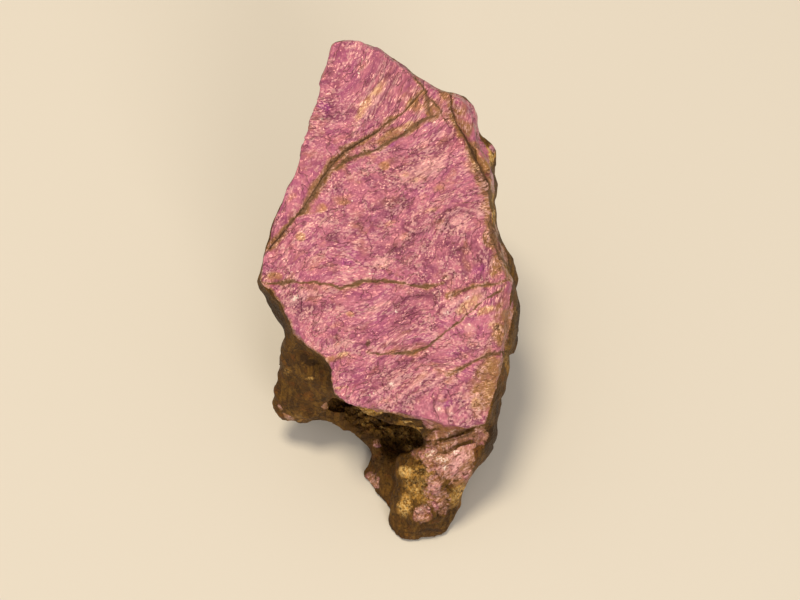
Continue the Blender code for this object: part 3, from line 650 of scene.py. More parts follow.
DEEP = [
    (-1.8, 25.2, 1.0, 0.3, -35, 0.4), (-3.6, 24.5, 0.3, 0.9, -20, 0.6), (-3.7, 22.6, 2.2, 0.6, 76, 0.7),
    (-4.2, 21.0, 0.5, 0.9, 70, 0.6), (-0.3, 19.9, 1.3, 0.2, 30, 0.7), (-2.0, 18.7, 1.2, 0.3, 35, 0.4),
    (2.3, 18.1, 1.3, 0.2, 25, 0.6), (-0.4, 17.6, 1.6, 0.55, 15, 0.9), (-3.4, 15.9, 0.6, 0.45, 30, 0.9),
    (0.6, 15.4, 1.7, 0.55, 10, 0.8), (2.9, 15.2, 1.2, 0.25, 15, 0.6), (-3.3, 14.3, 0.6, 0.5, 0, 0.6),
    (2.3, 13.7, 0.5, 0.35, 30, 0.9), (1.4, 12.9, 1.2, 0.35, 5, 0.8), (-5.0, 12.2, 1.2, 0.6, -30, 0.5),
    (-4.7, 12.2, 0.45, 0.22, 10, 1.0), (0.8, 11.2, 1.6, 0.35, 15, 0.6), (-2.2, 11.1, 1.0, 0.35, 10, 0.6),
    (4.9, 10.7, 0.6, 0.8, 20, 0.6), (3.6, 10.1, 1.0, 0.35, 15, 0.8), (-2.6, 8.9, 0.8, 0.35, 15, 0.6),
    (0.7, 7.4, 0.8, 0.25, 20, 0.7),
]
# Painted highlights: white glints painted into the colour where the face caught the light.
PAINTED_GLINTS = [
    (-2.15, 24.44, 0.11, 0.09, 0, 1.0), (-1.79, 22.94, 0.11, 0.11, 0, 0.8),
    (-4.16, 22.05, 0.32, 0.09, 10, 0.8), (0.3, 21.48, 0.16, 0.07, 20, 0.9),
    (-0.88, 20.36, 0.27, 0.06, -10, 1.0), (-0.3, 19.24, 0.25, 0.04, -10, 0.8),
    (-3.7, 18.79, 0.11, 0.07, 0, 0.8), (-0.39, 18.78, 0.5, 0.045, -13, 1.0),
    (-2.45, 17.79, 0.14, 0.07, 0, 1.0), (-0.34, 17.26, 0.42, 0.04, 46, 0.7),
    (0.47, 16.22, 0.27, 0.05, -15, 0.7), (2.29, 15.91, 0.16, 0.08, -20, 1.0),
    (-6.05, 15.36, 0.11, 0.07, 0, 0.9), (-5.6, 14.06, 0.11, 0.09, 0, 0.8),
    (-1.51, 14.01, 0.24, 0.06, 5, 1.0), (3.5, 12.75, 0.5, 0.1, 35, 0.8), (-5.46, 12.74, 0.36, 0.2, 30, 1.0),
    (4.6, 12.25, 0.3, 0.1, 20, 0.8), (-0.21, 12.06, 0.22, 0.12, 0, 1.0), (2.44, 11.97, 0.28, 0.1, 0, 1.0),
    (1.51, 11.62, 0.26, 0.05, -5, 0.8), (-2.11, 11.34, 0.15, 0.07, 0, 1.0),
    (3.6, 11.3, 0.12, 0.22, 20, 0.9), (1.08, 8.32, 0.16, 0.13, 40, 0.9),
    (-0.42, 8.27, 0.27, 0.14, -25, 1.0), (3.84, 8.11, 0.14, 0.06, -20, 0.8),
    (-1.5, 7.75, 0.35, 0.1, 20, 0.8), (3.27, 7.7, 0.07, 0.18, 0, 0.8), (2.03, 6.99, 0.13, 0.15, 70, 1.0),
    (4.08, 6.92, 0.12, 0.26, -30, 0.7), (2.67, 6.79, 0.1, 0.1, 90, 1.0), (2.8, 5.8, 1.2, 0.06, 18, 0.7),
    (2.5, 5.1, 0.9, 0.06, 18, 0.7), (1.5, 4.7, 0.5, 0.22, 10, 0.8), (2.9, 4.7, 0.4, 0.22, 0, 0.8),
    (2.13, 4.42, 0.52, 0.28, -20, 1.0), (0.4, 3.9, 0.25, 0.2, 0, 0.7), (2.34, 3.85, 0.26, 0.15, 0, 0.9),
    (1.2, 1.8, 0.35, 0.1, 20, 0.8),
]
OLIVE = [
    (-2.05, 23.99, 0.13, 0.09, 0, 0.8), (2.45, 22.0, 0.12, 0.18, 0, 1.0), (4.2, 19.2, 0.35, 0.8, 20, 0.7),
    (4.45, 18.8, 0.9, 0.22, 105, 0.8), (2.9, 14.03, 0.22, 0.09, 25, 1.0), (2.44, 13.81, 0.16, 0.14, 0, 1.0),
    (-1.95, 13.62, 0.5, 0.13, 10, 1.0), (-5.6, 13.25, 0.9, 0.25, 0, 0.6), (-3.1, 11.93, 0.32, 0.16, 0, 0.6),
    (5.05, 11.2, 0.3, 0.2, 0, 0.8), (-1.66, 10.4, 0.18, 0.3, 0, 0.7), (5.4, 9.9, 0.5, 0.3, 0, 0.8),
    (0.05, 9.86, 0.45, 0.11, 0, 1.0),
]
print(len(GOLD + MAGENTA + PALE_AND_SHEEN + DEEP + OLIVE), "patches and", len(PAINTED_GLINTS), "glints on the face")

# %% Patches of the crust
CLEAN_PATCHES = [
    (-3.9, 7.07, 0.24, 0.22, 0, 0.8), (-6.25, 7.05, 0.28, 0.12, -45, 0.7), (-0.5, 6.8, 1.8, 0.2, -12, 1.0),
    (-5.8, 6.5, 0.55, 0.16, -42, 0.7), (1.6, 6.15, 0.5, 0.3, 0, 1.0), (2.8, 5.9, 1.9, 0.36, 18, 1.0),
    (4.2, 5.6, 0.5, 0.6, 0, 0.8), (2.9, 5.3, 1.4, 0.24, 18, 1.0), (-1.16, 5.15, 0.35, 0.24, 0, 0.9),
    (3.3, 4.9, 1.0, 0.2, 18, 0.9), (0.9, 4.7, 0.5, 0.4, 0, 0.7), (3.5, 4.4, 0.5, 0.7, 0, 0.9),
    (2.2, 4.25, 1.4, 0.85, -20, 1.0), (2.6, 4.1, 1.9, 1.2, -40, 0.7), (-1.46, 3.3, 0.6, 0.4, -60, 0.8),
    (1.75, 3.0, 0.45, 0.6, 0, 1.0), (1.9, 2.4, 1.5, 0.8, -60, 0.6), (1.15, 1.45, 0.6, 0.55, 0, 1.0),
]
BRIGHT_OCHRE = [
    (-5.9, 8.9, 0.4, 0.25, 0, 0.45), (-4.7, 8.55, 0.3, 0.1, 5, 0.8), (-1.9, 6.85, 1.0, 0.3, -25, 0.55),
    (-0.6, 6.75, 1.4, 0.14, -12, 0.8), (-1.1, 6.68, 0.55, 0.07, -5, 1.0), (-5.3, 6.4, 0.9, 0.5, -30, 0.35),
    (-1.6, 6.32, 0.25, 0.06, -20, 0.8), (0.4, 6.22, 0.45, 0.06, -6, 0.9), (-1.95, 6.2, 0.16, 0.16, 0, 0.8),
    (-0.7, 6.05, 0.35, 0.09, 5, 1.0), (-3.45, 6.05, 0.14, 0.1, 0, 0.8), (0.9, 5.95, 0.4, 0.06, 0, 0.8),
    (0.1, 5.75, 1.6, 0.55, -10, 0.55), (-0.2, 5.62, 0.2, 0.08, 0, 0.7), (0.6, 5.0, 0.5, 0.2, 0, 0.7),
    (1.2, 4.6, 0.7, 0.5, 20, 0.6), (0.22, 3.7, 0.5, 0.42, 0, 1.1), (1.3, 3.6, 0.5, 0.6, 0, 0.6),
    (0.9, 3.1, 1.6, 1.1, -60, 0.55), (0.7, 2.6, 0.4, 0.5, 0, 0.7), (3.1, 2.6, 0.6, 1.1, -30, 0.6),
    (0.2, 1.9, 0.45, 0.8, 0, 0.8),
]
# Dark patches in the gully under the face and along the right flank: partly oxide, partly painted shade.
HOLLOW_OXIDE_AND_SHADE = [
    (-6.6, 11.8, 1.5, 0.5, -62, 0.9), (6.15, 11.6, 2.0, 0.45, 90, 0.65), (-5.0, 9.62, 0.35, 0.3, 0, 0.6),
    (-4.6, 9.38, 0.35, 0.18, 8, 1.0), (5.3, 7.4, 1.5, 0.4, 70, 0.5), (-2.6, 7.0, 0.9, 0.3, -25, 0.4),
    (-0.9, 6.42, 1.6, 0.2, -10, 0.5), (0.55, 6.4, 0.7, 0.1, -3, 0.7), (-0.6, 5.45, 1.2, 0.3, -5, 0.4),
    (1.0, 5.4, 0.6, 0.3, 0, 0.4), (4.85, 5.4, 0.4, 1.2, -25, 0.9), (3.9, 5.2, 0.35, 0.2, 40, 0.6),
    (1.6, 0.6, 0.9, 0.15, 0, 0.5),
]
# Two more kinds are strips along the right rim, which don't reach round to the back.
RIM_PINK = [
    (4.05, 22.3, 0.5, 1.2, 0, 1.0), (4.9, 20.5, 0.4, 0.4, 0, 0.7), (4.95, 18.7, 0.35, 0.8, 0, 0.8),
    (5.15, 16.6, 0.25, 0.8, 0, 0.8), (5.55, 15.0, 0.35, 0.9, 20, 1.0), (5.85, 13.8, 0.25, 0.4, 0, 0.6),
]
RIM_OCHRE = [
    (4.7, 20.1, 0.5, 0.7, 0, 0.9), (4.95, 17.6, 0.3, 1.4, 0, 0.8), (5.6, 14.2, 0.5, 0.5, 0, 0.6),
    (6.0, 12.0, 0.3, 1.2, 0, 0.4), (5.8, 9.2, 0.4, 1.4, 10, 0.6),
]
print(len(CLEAN_PATCHES + BRIGHT_OCHRE + HOLLOW_OXIDE_AND_SHADE + RIM_PINK + RIM_OCHRE), "patches on the crust")

# %% The zones at each point
# Painted light on the ridges: this much highlight is painted on a crest, and this much shade beside it.
CREST_HIGHLIGHT = 0.8
RIDGE_SHADE = 0.7
# Depths behind the face between which the strips along the rim begin and are full.
RIM_REACH = (-2.6, -1.2)
# How far forwards the crust looks where its patches begin and are full, and where the hidden side ends.
LOOKS_FORWARD = (-0.35, 0.20)
HIDDEN_EDGE = (-0.35, 0.0)

near_rim = ramp(places[:, 2], *RIM_REACH)
looks_forward = ramp(normals[:, 2], *LOOKS_FORWARD)
zones = {
    "gold": ovals(seen, GOLD) * face_share,
    "magenta": ovals(seen, MAGENTA) * face_share,
    # Pale patches, partly painted sheen, and the painted highlights on the ridges' crests.
    "pale_and_sheen": np.maximum(ovals(seen, PALE_AND_SHEEN), CREST_HIGHLIGHT * crest_highlight) * forward,
    # Deep patches of the stone, and the painted shade beside the ridges.
    "deep_and_ridge_shade": np.maximum(ovals(seen, DEEP), RIDGE_SHADE * beside) * (1.0 - crest_highlight) * face_share,
    # The painted glints, where the face caught the light.
    "painted_glint": ovals(drawn, PAINTED_GLINTS) * forward,
    "olive": ovals(seen, OLIVE) * face_share,
    "clean_patch": np.maximum(ovals(seen, CLEAN_PATCHES), ovals(seen, RIM_PINK) * near_rim) * looks_forward,
    "bright_ochre": np.maximum(ovals(seen, BRIGHT_OCHRE), ovals(seen, RIM_OCHRE) * near_rim) * looks_forward,
    # Dark hollows: oxide, and painted shade in the gully and on the right flank.
    "hollow_oxide_and_shade": ovals(seen, HOLLOW_OXIDE_AND_SHADE) * looks_forward * (1.0 - face_share),
    "hidden": fade(normals[:, 2], HIDDEN_EDGE),
    "rubble": rubble_share,
    "face_share": face_share,
    "vein": vein,
    "stain": stain,
}
print("zones:", ", ".join(zones))

# %% Store the zones on the skin, thin it and take it to its place
# The skin is kept under 200,000 triangles. The grid has more, so it gives up points where it is nearly flat,
# and the points that stay keep their zones.
MOST_TRIANGLES = 196000

for name, values in zones.items():
    attribute = skin.attributes.new(name, "FLOAT", "POINT")
    attribute.data.foreach_set("value", values)
attribute = skin.attributes.new("grain", "FLOAT_VECTOR", "POINT")
attribute.data.foreach_set("vector", grain.ravel())
skin.calc_loop_triangles()
skin = through_modifier(skin, "DECIMATE", ratio=MOST_TRIANGLES / len(skin.loop_triangles))
skin.calc_loop_triangles()
print("thinned skin:", len(skin.loop_triangles), "triangles")
skin.transform(to_row)
below = [vert for vert in skin.vertices if vert.co.z < 0.0]
for vert in below:
    vert.co.z = 0.0
print("points that rest flat on the floor:", len(below))

stone = put_in_scene("purpurite_skin", skin)
skin.shade_smooth()

# %% [markdown]
# ## The finish
#
# Purpurite bends light strongly for a stone, with an index near 1.86, and its split fibres lie almost in
# one plane. That gives a satin lustre: broad and soft, with sparks where a fibre tilts. The crust is dull
# and earthy. One material holds both, because they are one stone and grade into each other. Its helpers
# turn a hex colour into the linear values that a shader reads, add a node, and multiply.

# %% Helpers for materials
SMOOTHLY = {"interpolation_type": "SMOOTHSTEP"}


def linear(hex_colour):
    """A colour written as an sRGB hex value, in the linear values that a shader reads."""
    levels = [int(hex_colour[i:i + 2], 16) / 255.0 for i in (1, 3, 5)]
    return [level / 12.92 if level <= 0.04045 else ((level + 0.055) / 1.055) ** 2.4
            for level in levels] + [1.0]


def add(tree, kind, settings=None, sockets=None, output=0):
    """Add a node, set its settings, set or link its input sockets, and give back one of its outputs."""
    node = tree.nodes.new("ShaderNode" + kind)
    for name, value in (settings or {}).items():
        setattr(node, name, value)
    for name, value in (sockets or {}).items():
        if isinstance(value, bpy.types.NodeSocket):
            tree.links.new(value, node.inputs[name])
        else:
            node.inputs[name].default_value = value
    return node.outputs[output]


def times(tree, *factors):
    """The product of the factors."""
    product = factors[0]
    for factor in factors[1:]:
        product = add(tree, "Math", {"operation": "MULTIPLY"}, {0: product, 1: factor})
    return product


# %% [markdown]
# ## Patterns
#
# Dust, clouds and specks of oxide are soft noises with sizes in millimetres. Some follow the fibres, so
# they read the place along and across them that the skin stores. The others sit in the stone alike in all
# directions, so they read the object's own coordinates, which stay put when the stone is turned. A crease
# or a crack is the thin line where a noise passes its middle value.

# %% Patterns
# What the noise is laid on, how many of it fit in a millimetre along, across and through the stone, its
# detail, how far it is stirred, and the two values between which it rises from none to full.
PATTERNS = {
    "clouds": ("grain", (0.30, 0.45, 0.45), 3.0, 0.6, (0.36, 0.64)),
    "blotches": ("grain", (1.2, 1.8, 1.8), 3.0, 0.8, (0.36, 0.64)),
    "bloom": ("grain", (0.8, 1.2, 1.2), 3.0, 0.8, (0.50, 0.70)),
    "clusters": ("grain", (0.9, 1.3, 1.3), 2.0, 0.5, (0.36, 0.66)),
    "ripples": ("grain", (2.2, 3.4, 3.4), 2.0, 0.6, (0.20, 0.80)),
    "dust": ("stone", (1.3, 1.3, 1.3), 4.0, 0.0, (0.30, 0.70)),
    "specks": ("stone", (8.5, 8.5, 8.5), 2.0, 0.0, (0.34, 0.66)),
    "crumbs": ("stone", (3.6, 3.6, 3.6), 4.0, 0.5, (0.22, 0.78)),
    "grit": ("stone", (6.0, 6.0, 6.0), 3.0, 0.0, (0.30, 0.70)),
    "earth": ("stone", (1.3, 0.8, 1.0), 4.0, 0.6, (0.36, 0.64)),
    "streaks": ("stone", (3.6, 1.1, 2.2), 3.0, 0.8, (0.42, 0.66)),
    "rust": ("stone", (1.5, 1.5, 1.5), 3.0, 0.5, (0.52, 0.70)),
    "hidden_cleavage": ("stone", (0.32, 0.32, 0.32), 4.0, 0.6, (0.54, 0.70)),
}
# The creases between the flakes and the cracks of the crust have a width about the middle value instead.
CREASES = {
    "creases": ("grain", (0.75, 1.15, 1.15), 4.0, 0.5, 0.014),
    "cracks": ("stone", (1.30, 1.30, 1.30), 4.0, 0.5, 0.022),
}
MIDDLE_VALUE = 0.5
# Each pattern is moved on by this from the one before, so that no two are alike.
PATTERN_SHIFT = Vector((3.7, 11.3, 5.9))


def lay_grounds(tree):
    """What patterns are laid on: places in millimetres in the face's frame, and along the fibres."""
    stone_place = add(tree, "Mapping", {}, {
        "Vector": add(tree, "TexCoord", output="Object"),
        "Location": to_face.translation,
        "Rotation": to_face.to_euler(),
        "Scale": (1.0 / MM,) * 3,
    })
    fibre_place = add(tree, "Attribute", {"attribute_name": "grain"}, output="Vector")
    return {"stone": stone_place, "grain": fibre_place}


def soft_noise(tree, ground, per_mm, detail, stirred, turn=0):
    """Soft noise on a ground, stirred as far as told; each turn gives another noise."""
    scaled = add(tree, "Mapping", {}, {"Vector": ground, "Scale": per_mm, "Location": PATTERN_SHIFT * turn})
    return add(tree, "TexNoise", {}, {
        "Vector": scaled, "Scale": 1.0, "Detail": detail, "Distortion": stirred}, "Fac")


def lay_patterns(tree, grounds):
    """All the patterns, each rising from 0 to 1."""
    laid = {}
    for turn, (name, (ground, per_mm, detail, stirred, (low, high))) in enumerate(PATTERNS.items()):
        level = soft_noise(tree, grounds[ground], per_mm, detail, stirred, turn)
        laid[name] = add(tree, "MapRange", SMOOTHLY, {"Value": level, "From Min": low, "From Max": high})
    for name, (ground, per_mm, detail, stirred, width) in CREASES.items():
        level = soft_noise(tree, grounds[ground], per_mm, detail, stirred)
        off_middle = add(tree, "Math", {"operation": "SUBTRACT"}, {0: level, 1: MIDDLE_VALUE})
        off_middle = add(tree, "Math", {"operation": "ABSOLUTE"}, {0: off_middle})
        laid[name] = add(tree, "MapRange", SMOOTHLY, {
            "Value": off_middle, "From Min": width, "From Max": 0.0})
    return laid


print(len(PATTERNS), "patterns, and", " and ".join(CREASES))

# %% [markdown]
# ## Flakes and grains
#
# A split face sparkles because it has thousands of flakes, each tilted its own way. No mesh is that fine.
# A cell texture gives every cell a random colour, and here the colour is read as a tilt of the surface's
# normal. The same texture makes the crust's earthy grains, which bulge in the middle of their cells.

# %% Flakes and grains
# How many flakes fit in a millimetre along, across and through the stone, and how far they tilt. The
# real ones are a hundredth of a millimetre wide: these are as coarse as they must be to show.
FLAKES = [((2.4, 3.4, 3.4), 0.22), ((8.0, 14.0, 14.0), 0.60)]
# On the crust they tilt by this share of that.
CRUST_SPARKLE = 0.60
# How bright a fine flake's random colour is where it begins to be a painted sparkle fleck, and where it
# fully is.
FLECK_EDGE = (0.10, 0.95)
# A random colour has this middle, which doesn't tilt the flake.
NO_TILT = (0.5, 0.5, 0.5)
# The crust's grains: how many fit in a millimetre, and how far from the middle the bulge begins and is full.
GRAINS_PER_MM = (4.6, 4.6, 4.6)
GRAIN_EDGE = (0.85, 0.20)
GRAIN_TURN = 5


def cells(tree, vector, per_mm, turn):
    """Small cells that fill the stone: a random colour for each, and the distance from its middle."""
    scaled = add(tree, "Mapping", {}, {"Vector": vector, "Scale": per_mm, "Location": PATTERN_SHIFT * turn})
    colour = add(tree, "TexVoronoi", {"feature": "F1"}, {"Vector": scaled, "Scale": 1.0}, "Color")
    return colour, colour.node.outputs["Distance"]


def lay_cells(tree, grounds, laid):
    """Add what the cells give: painted sparkle flecks of the finest flakes, and the tone and bulge of the
    grains.
    """
    laid["flakes"] = [cells(tree, grounds["grain"], per_mm, turn)[0]
                      for turn, (per_mm, _) in enumerate(FLAKES)]
    laid["grain tone"], from_middle = cells(tree, grounds["stone"], GRAINS_PER_MM, GRAIN_TURN)
    for name, value, (low, high) in (("flecks", laid["flakes"][1], FLECK_EDGE),
                                     ("grain bulge", from_middle, GRAIN_EDGE)):
        laid[name] = add(tree, "MapRange", SMOOTHLY, {"Value": value, "From Min": low, "From Max": high})


def flaky_normal(tree, laid, clean):
    """The surface's normal, tilted its own way in each flake, so that some of them flash."""
    share = add(tree, "MapRange", {}, {"Value": clean, "To Min": CRUST_SPARKLE})
    normal = add(tree, "NewGeometry", output="Normal")
    for colour, (_, tilt) in zip(laid["flakes"], FLAKES):
        aside = add(tree, "VectorMath", {"operation": "SUBTRACT"}, {0: colour, 1: NO_TILT})
        aside = add(tree, "VectorMath", {"operation": "SCALE"}, {
            0: aside, "Scale": times(tree, share, tilt)})
        normal = add(tree, "VectorMath", {"operation": "ADD"}, {0: normal, 1: aside})
    return add(tree, "VectorMath", {"operation": "NORMALIZE"}, {0: normal})


print(round(1.0 / max(GRAINS_PER_MM), 2), "mm for a grain of the crust")

# %% [markdown]
# ## Broken edges
#
# The zones on the skin have soft, round edges, and nothing on the stone has. So each is multiplied by a
# pattern about 1 and then sharpened: its edge frays, and where the zone is 0 nothing appears. One table
# says how for each, because all that differs is the pattern and how strongly and how sharply it works.

# %% Break up the zones' edges
# The zone, the pattern that breaks it up, how strongly, and the two values between which the outcome rises.
# The vein's zone is a distance in half widths, so its two values stand the other way round: near is full.
BROKEN_EDGES = {
    "painted sparkle flecks": ("flecks", "crowded", 0.8, 0.62, 0.95),
    "painted sparks": ("painted_glint", "specks", 1.3, 0.55, 1.35),
    "stained": ("stain", "dust", 0.9, 0.20, 0.95),
    "filmed": ("olive", "dust", 0.8, 0.30, 0.75),
    "gilded": ("gold", "dust", 0.9, 0.25, 0.85),
    "reddened": ("magenta", "dust", 0.8, 0.25, 0.95),
    "deepened_and_shaded": ("deep_and_ridge_shade", "dust", 0.8, 0.20, 1.00),
    "pale and sheen": ("pale_and_sheen", "blotches", 0.6, 0.30, 1.10),
    "ochre grains": ("bright_ochre", "grain tone", 1.4, 0.15, 1.05),
    "straw grains": ("bright_ochre", "specks", 1.3, 0.35, 1.40),
    "light grains": ("rubble", "grain tone", 2.0, 0.70, 1.50),
    "oxide and shade in hollows": ("hollow_oxide_and_shade", "dust", 0.6, 0.15, 0.65),
    "patches": ("clean_patch", "crumbs", 1.0, 0.15, 0.85),
    "ragged patches": ("patches", "grain tone", 1.1, 0.05, 0.70),
    "hidden patches": ("thin cleavage", "grain tone", 1.0, 0.10, 0.80),
    "split face": ("face_share", "grit", 0.4, 0.35, 0.65),
    "core": ("vein", "grit", 0.9, 1.70, 0.55),
}
# The painted sparkle flecks crowd together in clusters, and by this much more in the pale, partly
# sheen-painted zones.
PALE_CROWDING = 0.75


def lay_zones(tree, laid):
    """Add the zones that are stored on the skin, and each of them with its edge broken up."""
    for name in zones:
        laid[name] = add(tree, "Attribute", {"attribute_name": name}, output="Fac")
    laid["crowded"] = add(tree, "Math", {"operation": "MULTIPLY_ADD"}, {
        0: laid["pale_and_sheen"], 1: PALE_CROWDING, 2: laid["clusters"]})
    laid["thin cleavage"] = times(tree, laid["hidden_cleavage"], laid["hidden"])
    for name, (zone, breaker, amount, low, high) in BROKEN_EDGES.items():
        about_one = add(tree, "Math", {"operation": "MULTIPLY_ADD"}, {
            0: laid[breaker], 1: amount, 2: 1.0 - amount / 2})
        laid[name] = add(tree, "MapRange", SMOOTHLY, {
            "Value": times(tree, laid[zone], about_one), "From Min": low, "From Max": high})


print(len(BROKEN_EDGES), "broken edges")

# %% [markdown]
# ## Colours
#
# The cleaved phosphate is orchid pink to magenta purple where it is clean, mauve where it is deep, and pale
# where it is finely split, and also where sheen is painted. Gold-brown and olive oxides dust it and stain it
# beside the veins. Painted shade lies beside the ridges, and painted sparkle flecks and glints on top. The
# crust goes from black oxide and painted shade in the hollows through brown to ochre and straw grains. Both
# are painted as a painter would, from the ground colour up, each further colour where its pattern or zone
# says.

# %% Colours of the clean face
DEEP_MAUVE = "#6f3350"
ORCHID = "#ac5a89"
ROSE = "#ce7e9c"
MAGENTA_PURPLE = "#a03e90"
# Pale pink of finely split stone, also used as painted sheen.
PALE_PINK_AND_SHEEN = "#e6acb6"
# Painted highlight: pale pink sparkle flecks that stand in for the fibres' glints.
PAINTED_SPARKLE_PINK = "#f6c6cc"
# Painted highlight: the colour of the painted glints.
PAINTED_GLINT_WHITE = "#fff0ec"
GOLD_DUST = "#bb8656"
# Painted highlight: the same sparkle where the face is gilded.
PAINTED_GOLD_SPARKLE = "#eac693"
OLIVE_FILM = "#54431a"
CREASE_BROWN = "#5a3526"
STAIN_OCHRE = "#937030"
# From the ground up: where the colour lies, as a product of what is laid, how strongly, and the colour.
FACE_LAYERS = [
    (["clouds"], 0.70, DEEP_MAUVE),
    (["blotches"], 0.85, ROSE),
    # Deep mauve patches, and the painted shade beside the ridges.
    (["deepened_and_shaded"], 0.75, DEEP_MAUVE),
    (["reddened"], 0.75, MAGENTA_PURPLE),
    # Pale pink, partly finely split stone and partly painted sheen.
    (["pale and sheen"], 0.66, PALE_PINK_AND_SHEEN),
    (["bloom", "dust"], 0.55, GOLD_DUST),
    (["gilded"], 0.72, GOLD_DUST),
    (["stained"], 0.85, STAIN_OCHRE),
    (["filmed"], 0.85, OLIVE_FILM),
    (["specks"], 0.22, DEEP_MAUVE),
    (["creases"], 0.50, CREASE_BROWN),
    # Painted sparkle flecks, pink and where gilded gold.
    (["painted sparkle flecks"], 0.45, PAINTED_SPARKLE_PINK),
    (["painted sparkle flecks", "gilded"], 0.60, PAINTED_GOLD_SPARKLE),
    # Painted highlights over everything else.
    (["painted sparks"], 1.00, PAINTED_GLINT_WHITE),
]
print(len(FACE_LAYERS), "colours over the orchid ground of the face")

# %% Colours of the crust
# Black oxide, also used as painted shade in the hollows.
BLACK_OXIDE_AND_SHADE = "#291f11"
# Dark oxide, also used as the painted shade between the crust's grains.
DARK_OXIDE_AND_GRAIN_SHADE = "#37280f"
BROWN_CRUST = "#5d421c"
RUST = "#7c4a1c"
EARTHY_GOLD = "#94702f"
OCHRE = "#cf9f50"
STRAW = "#f2d492"
CRUST_LAYERS = [
    (["earth"], 0.65, DARK_OXIDE_AND_GRAIN_SHADE),
    (["streaks"], 0.40, EARTHY_GOLD),
    (["rust"], 0.45, RUST),
    (["specks"], 0.35, DARK_OXIDE_AND_GRAIN_SHADE),
    (["light grains"], 0.75, EARTHY_GOLD),
    # Painted shade in the hollows, with their oxide.
    (["oxide and shade in hollows"], 0.80, BLACK_OXIDE_AND_SHADE),
    (["ochre grains"], 0.92, OCHRE),
    (["straw grains"], 0.75, STRAW),
    # Painted shade in the gaps between the bulging grains of the rubble.
    (["shade between grains", "rubble"], 0.22, DARK_OXIDE_AND_GRAIN_SHADE),
    (["cracks"], 0.75, BLACK_OXIDE_AND_SHADE),
]


def layered(tree, laid, ground, layers):
    """A ground colour with the layers' colours over it."""
    colour = linear(ground)
    for names, strength, over in layers:
        share = times(tree, *(laid[name] for name in names), strength)
        colour = add(tree, "Mix", {"data_type": "RGBA"}, {0: share, 6: colour, 7: linear(over)}, 2)
    return colour


print(len(CRUST_LAYERS), "colours over the brown ground of the crust")

# %% [markdown]
# ## The stone's material
#
# The face gleams like satin, and the crust and the veins' cores are dull, so roughness and gloss follow
# the share of clean stone as the colour does. Relief too fine for the mesh, such as ripples along the
# fibres and crumbs of the crust, is a bump: it shades the surface without adding a point.

# %% The stone's material
PURPURITE_IOR = 1.86
SATIN_ROUGHNESS = 0.30
EARTHY_ROUGHNESS = 0.62
# Dense crystal throws back half of the shader's full gloss, as it should; the porous crust far less.
CRYSTAL_GLOSS = 0.5
CRUST_GLOSS = 0.12
# Light that comes back out of the thin upper flakes takes their colour along.
SILK_TINT = "#ffced4"
VEIN_BROWN = "#5a441c"
CORE_SHARE = 0.88
# The height of one step of the bump in millimetres, and how many such steps these parts of it rise.
FINE_RELIEF = 0.035
RIPPLE_HEIGHT = 1.6
CRUMB_HEIGHT = 2.0
GRAIN_HEIGHT = 2.5


def satin_purpurite_with_oxide_crust():
    """Silky cleaved phosphate that gleams softly, and the dull brown oxides on and in it."""
    material = bpy.data.materials.new("satin_purpurite_with_oxide_crust")
    material.use_nodes = True
    tree = material.node_tree
    shader = tree.nodes["Principled BSDF"]
    grounds = lay_grounds(tree)
    laid = lay_patterns(tree, grounds)
    lay_cells(tree, grounds, laid)
    lay_zones(tree, laid)
    # Painted shade goes where the grains don't bulge; the bare stone is what the veins' cores leave.
    for name, part in (("shade between grains", "grain bulge"), ("bare", "core")):
        laid[name] = add(tree, "Math", {"operation": "SUBTRACT"}, {0: 1.0, 1: laid[part]})
    clean = laid["split face"]
    for more in (laid["ragged patches"], laid["hidden patches"]):
        clean = add(tree, "Math", {"operation": "MAXIMUM"}, {0: clean, 1: more})

    whole = layered(tree, laid, BROWN_CRUST, CRUST_LAYERS)
    for share, over in ((clean, layered(tree, laid, ORCHID, FACE_LAYERS)),
                        (times(tree, laid["core"], CORE_SHARE), linear(VEIN_BROWN))):
        whole = add(tree, "Mix", {"data_type": "RGBA"}, {0: share, 6: whole, 7: over}, 2)
    tree.links.new(whole, shader.inputs["Base Color"])

    for socket, share, crust, crystal in (
        ("Roughness", times(tree, clean, laid["bare"]), EARTHY_ROUGHNESS, SATIN_ROUGHNESS),
        ("Specular IOR Level", clean, CRUST_GLOSS, CRYSTAL_GLOSS),
    ):
        between = add(tree, "MapRange", {}, {"Value": share, "To Min": crust, "To Max": crystal})
        tree.links.new(between, shader.inputs[socket])
    shader.inputs["IOR"].default_value = PURPURITE_IOR
    shader.inputs["Specular Tint"].default_value = linear(SILK_TINT)

    silk = add(tree, "Math", {"operation": "MULTIPLY_ADD"}, {
        0: laid["ripples"], 1: RIPPLE_HEIGHT, 2: laid["creases"]})
    earth = add(tree, "Math", {"operation": "MULTIPLY_ADD"}, {
        0: laid["crumbs"], 1: CRUMB_HEIGHT, 2: laid["grit"]})
    relief = add(tree, "Mix", {"data_type": "FLOAT"}, {0: clean, 2: earth, 3: silk})
    grains = times(tree, laid["rubble"], laid["grain bulge"])
    relief = add(tree, "Math", {"operation": "MULTIPLY_ADD"}, {
        0: grains, 1: GRAIN_HEIGHT, 2: relief})
    bump = add(tree, "Bump", {}, {
        "Height": relief, "Distance": FINE_RELIEF * MM, "Strength": 1.0,
        "Normal": flaky_normal(tree, laid, clean)})
    tree.links.new(bump, shader.inputs["Normal"])
    return material


skin.materials.clear()
skin.materials.append(satin_purpurite_with_oxide_crust())
print("the stone's material has", len(skin.materials[0].node_tree.nodes), "nodes")

# %% [markdown]
# ## Floor and light
#
# A pale floor without any pattern leaves the eye on the stone. Two large, warm lamps make soft shadows.
# The key lamp shines from above and a little from the left, so that the fibres catch it. The fill lamp
# shines from below and the right, nearly from the front, and lifts the foot and the lower edges.

# %% The floor
FLOOR_HALF = 0.6
FLOOR_GAP = 0.00004
FLOOR_COLOUR = "#dddee0"
PAPER_ROUGHNESS = 0.9

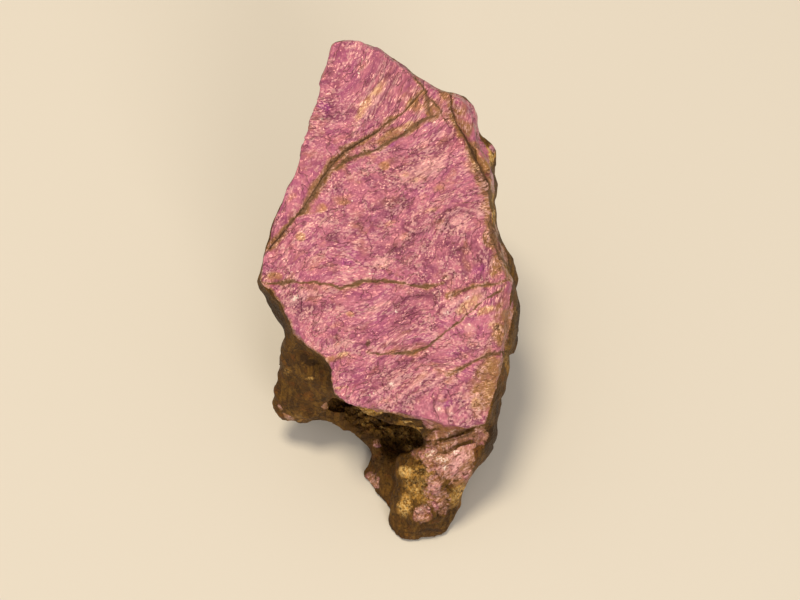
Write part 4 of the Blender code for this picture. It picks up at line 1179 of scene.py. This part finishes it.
bm = bmesh.new()
bmesh.ops.create_grid(bm, x_segments=1, y_segments=1, size=FLOOR_HALF)
bmesh.ops.translate(bm, vec=(0.0, 0.0, -FLOOR_GAP), verts=bm.verts[:])
floor_mesh = bpy.data.meshes.new("floor")
bm.to_mesh(floor_mesh)
bm.free()
floor = put_in_scene("floor", floor_mesh)
paper = bpy.data.materials.new("matt_paper")
paper.use_nodes = True
paper.node_tree.nodes["Principled BSDF"].inputs["Base Color"].default_value = linear(FLOOR_COLOUR)
paper.node_tree.nodes["Principled BSDF"].inputs["Roughness"].default_value = PAPER_ROUGHNESS
floor_mesh.materials.append(paper)
print("the floor is", 2 * FLOOR_HALF, "m wide")

# %% The lamps
# Where each lamp stands as seen from the stone's middle, in the face's frame; its distance and size in
# metres, its power in watts and its colour.
LAMPS = {
    "key": ((-0.22, 0.74, 0.86), 0.28, 0.09, 0.51, "#ffe8c0"),
    "fill": ((0.32, -0.52, 0.85), 0.30, 0.14, 0.36, "#fff0d8"),
}
STONE_MIDDLE = Vector((0.0, 13.0, -3.0))
WORLD_COLOUR = "#fff1df"
WORLD_STRENGTH = 0.42

middle = to_row @ STONE_MIDDLE
for name, (way_to_lamp, distance, size, power, colour) in LAMPS.items():
    lamp = bpy.data.lights.new(name, "AREA")
    lamp.shape = "DISK"
    lamp.size = size
    lamp.energy = power
    lamp.color = linear(colour)[:3]
    holder = put_in_scene(name, lamp)
    direction = (to_row.to_3x3() @ Vector(way_to_lamp)).normalized()
    holder.location = middle + direction * distance
    holder.rotation_euler = direction.to_track_quat("Z", "Y").to_euler()
    print(name, "lamp at", [round(value, 3) for value in holder.location], "m")

world = bpy.data.worlds.new("studio")
bpy.context.scene.world = world
world.use_nodes = True
world.node_tree.nodes["Background"].inputs["Color"].default_value = linear(WORLD_COLOUR)
world.node_tree.nodes["Background"].inputs["Strength"].default_value = WORLD_STRENGTH
bpy.context.scene.view_settings.view_transform = "Standard"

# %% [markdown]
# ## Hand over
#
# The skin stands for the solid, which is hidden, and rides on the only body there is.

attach(stone, "root")
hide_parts("purpurite")
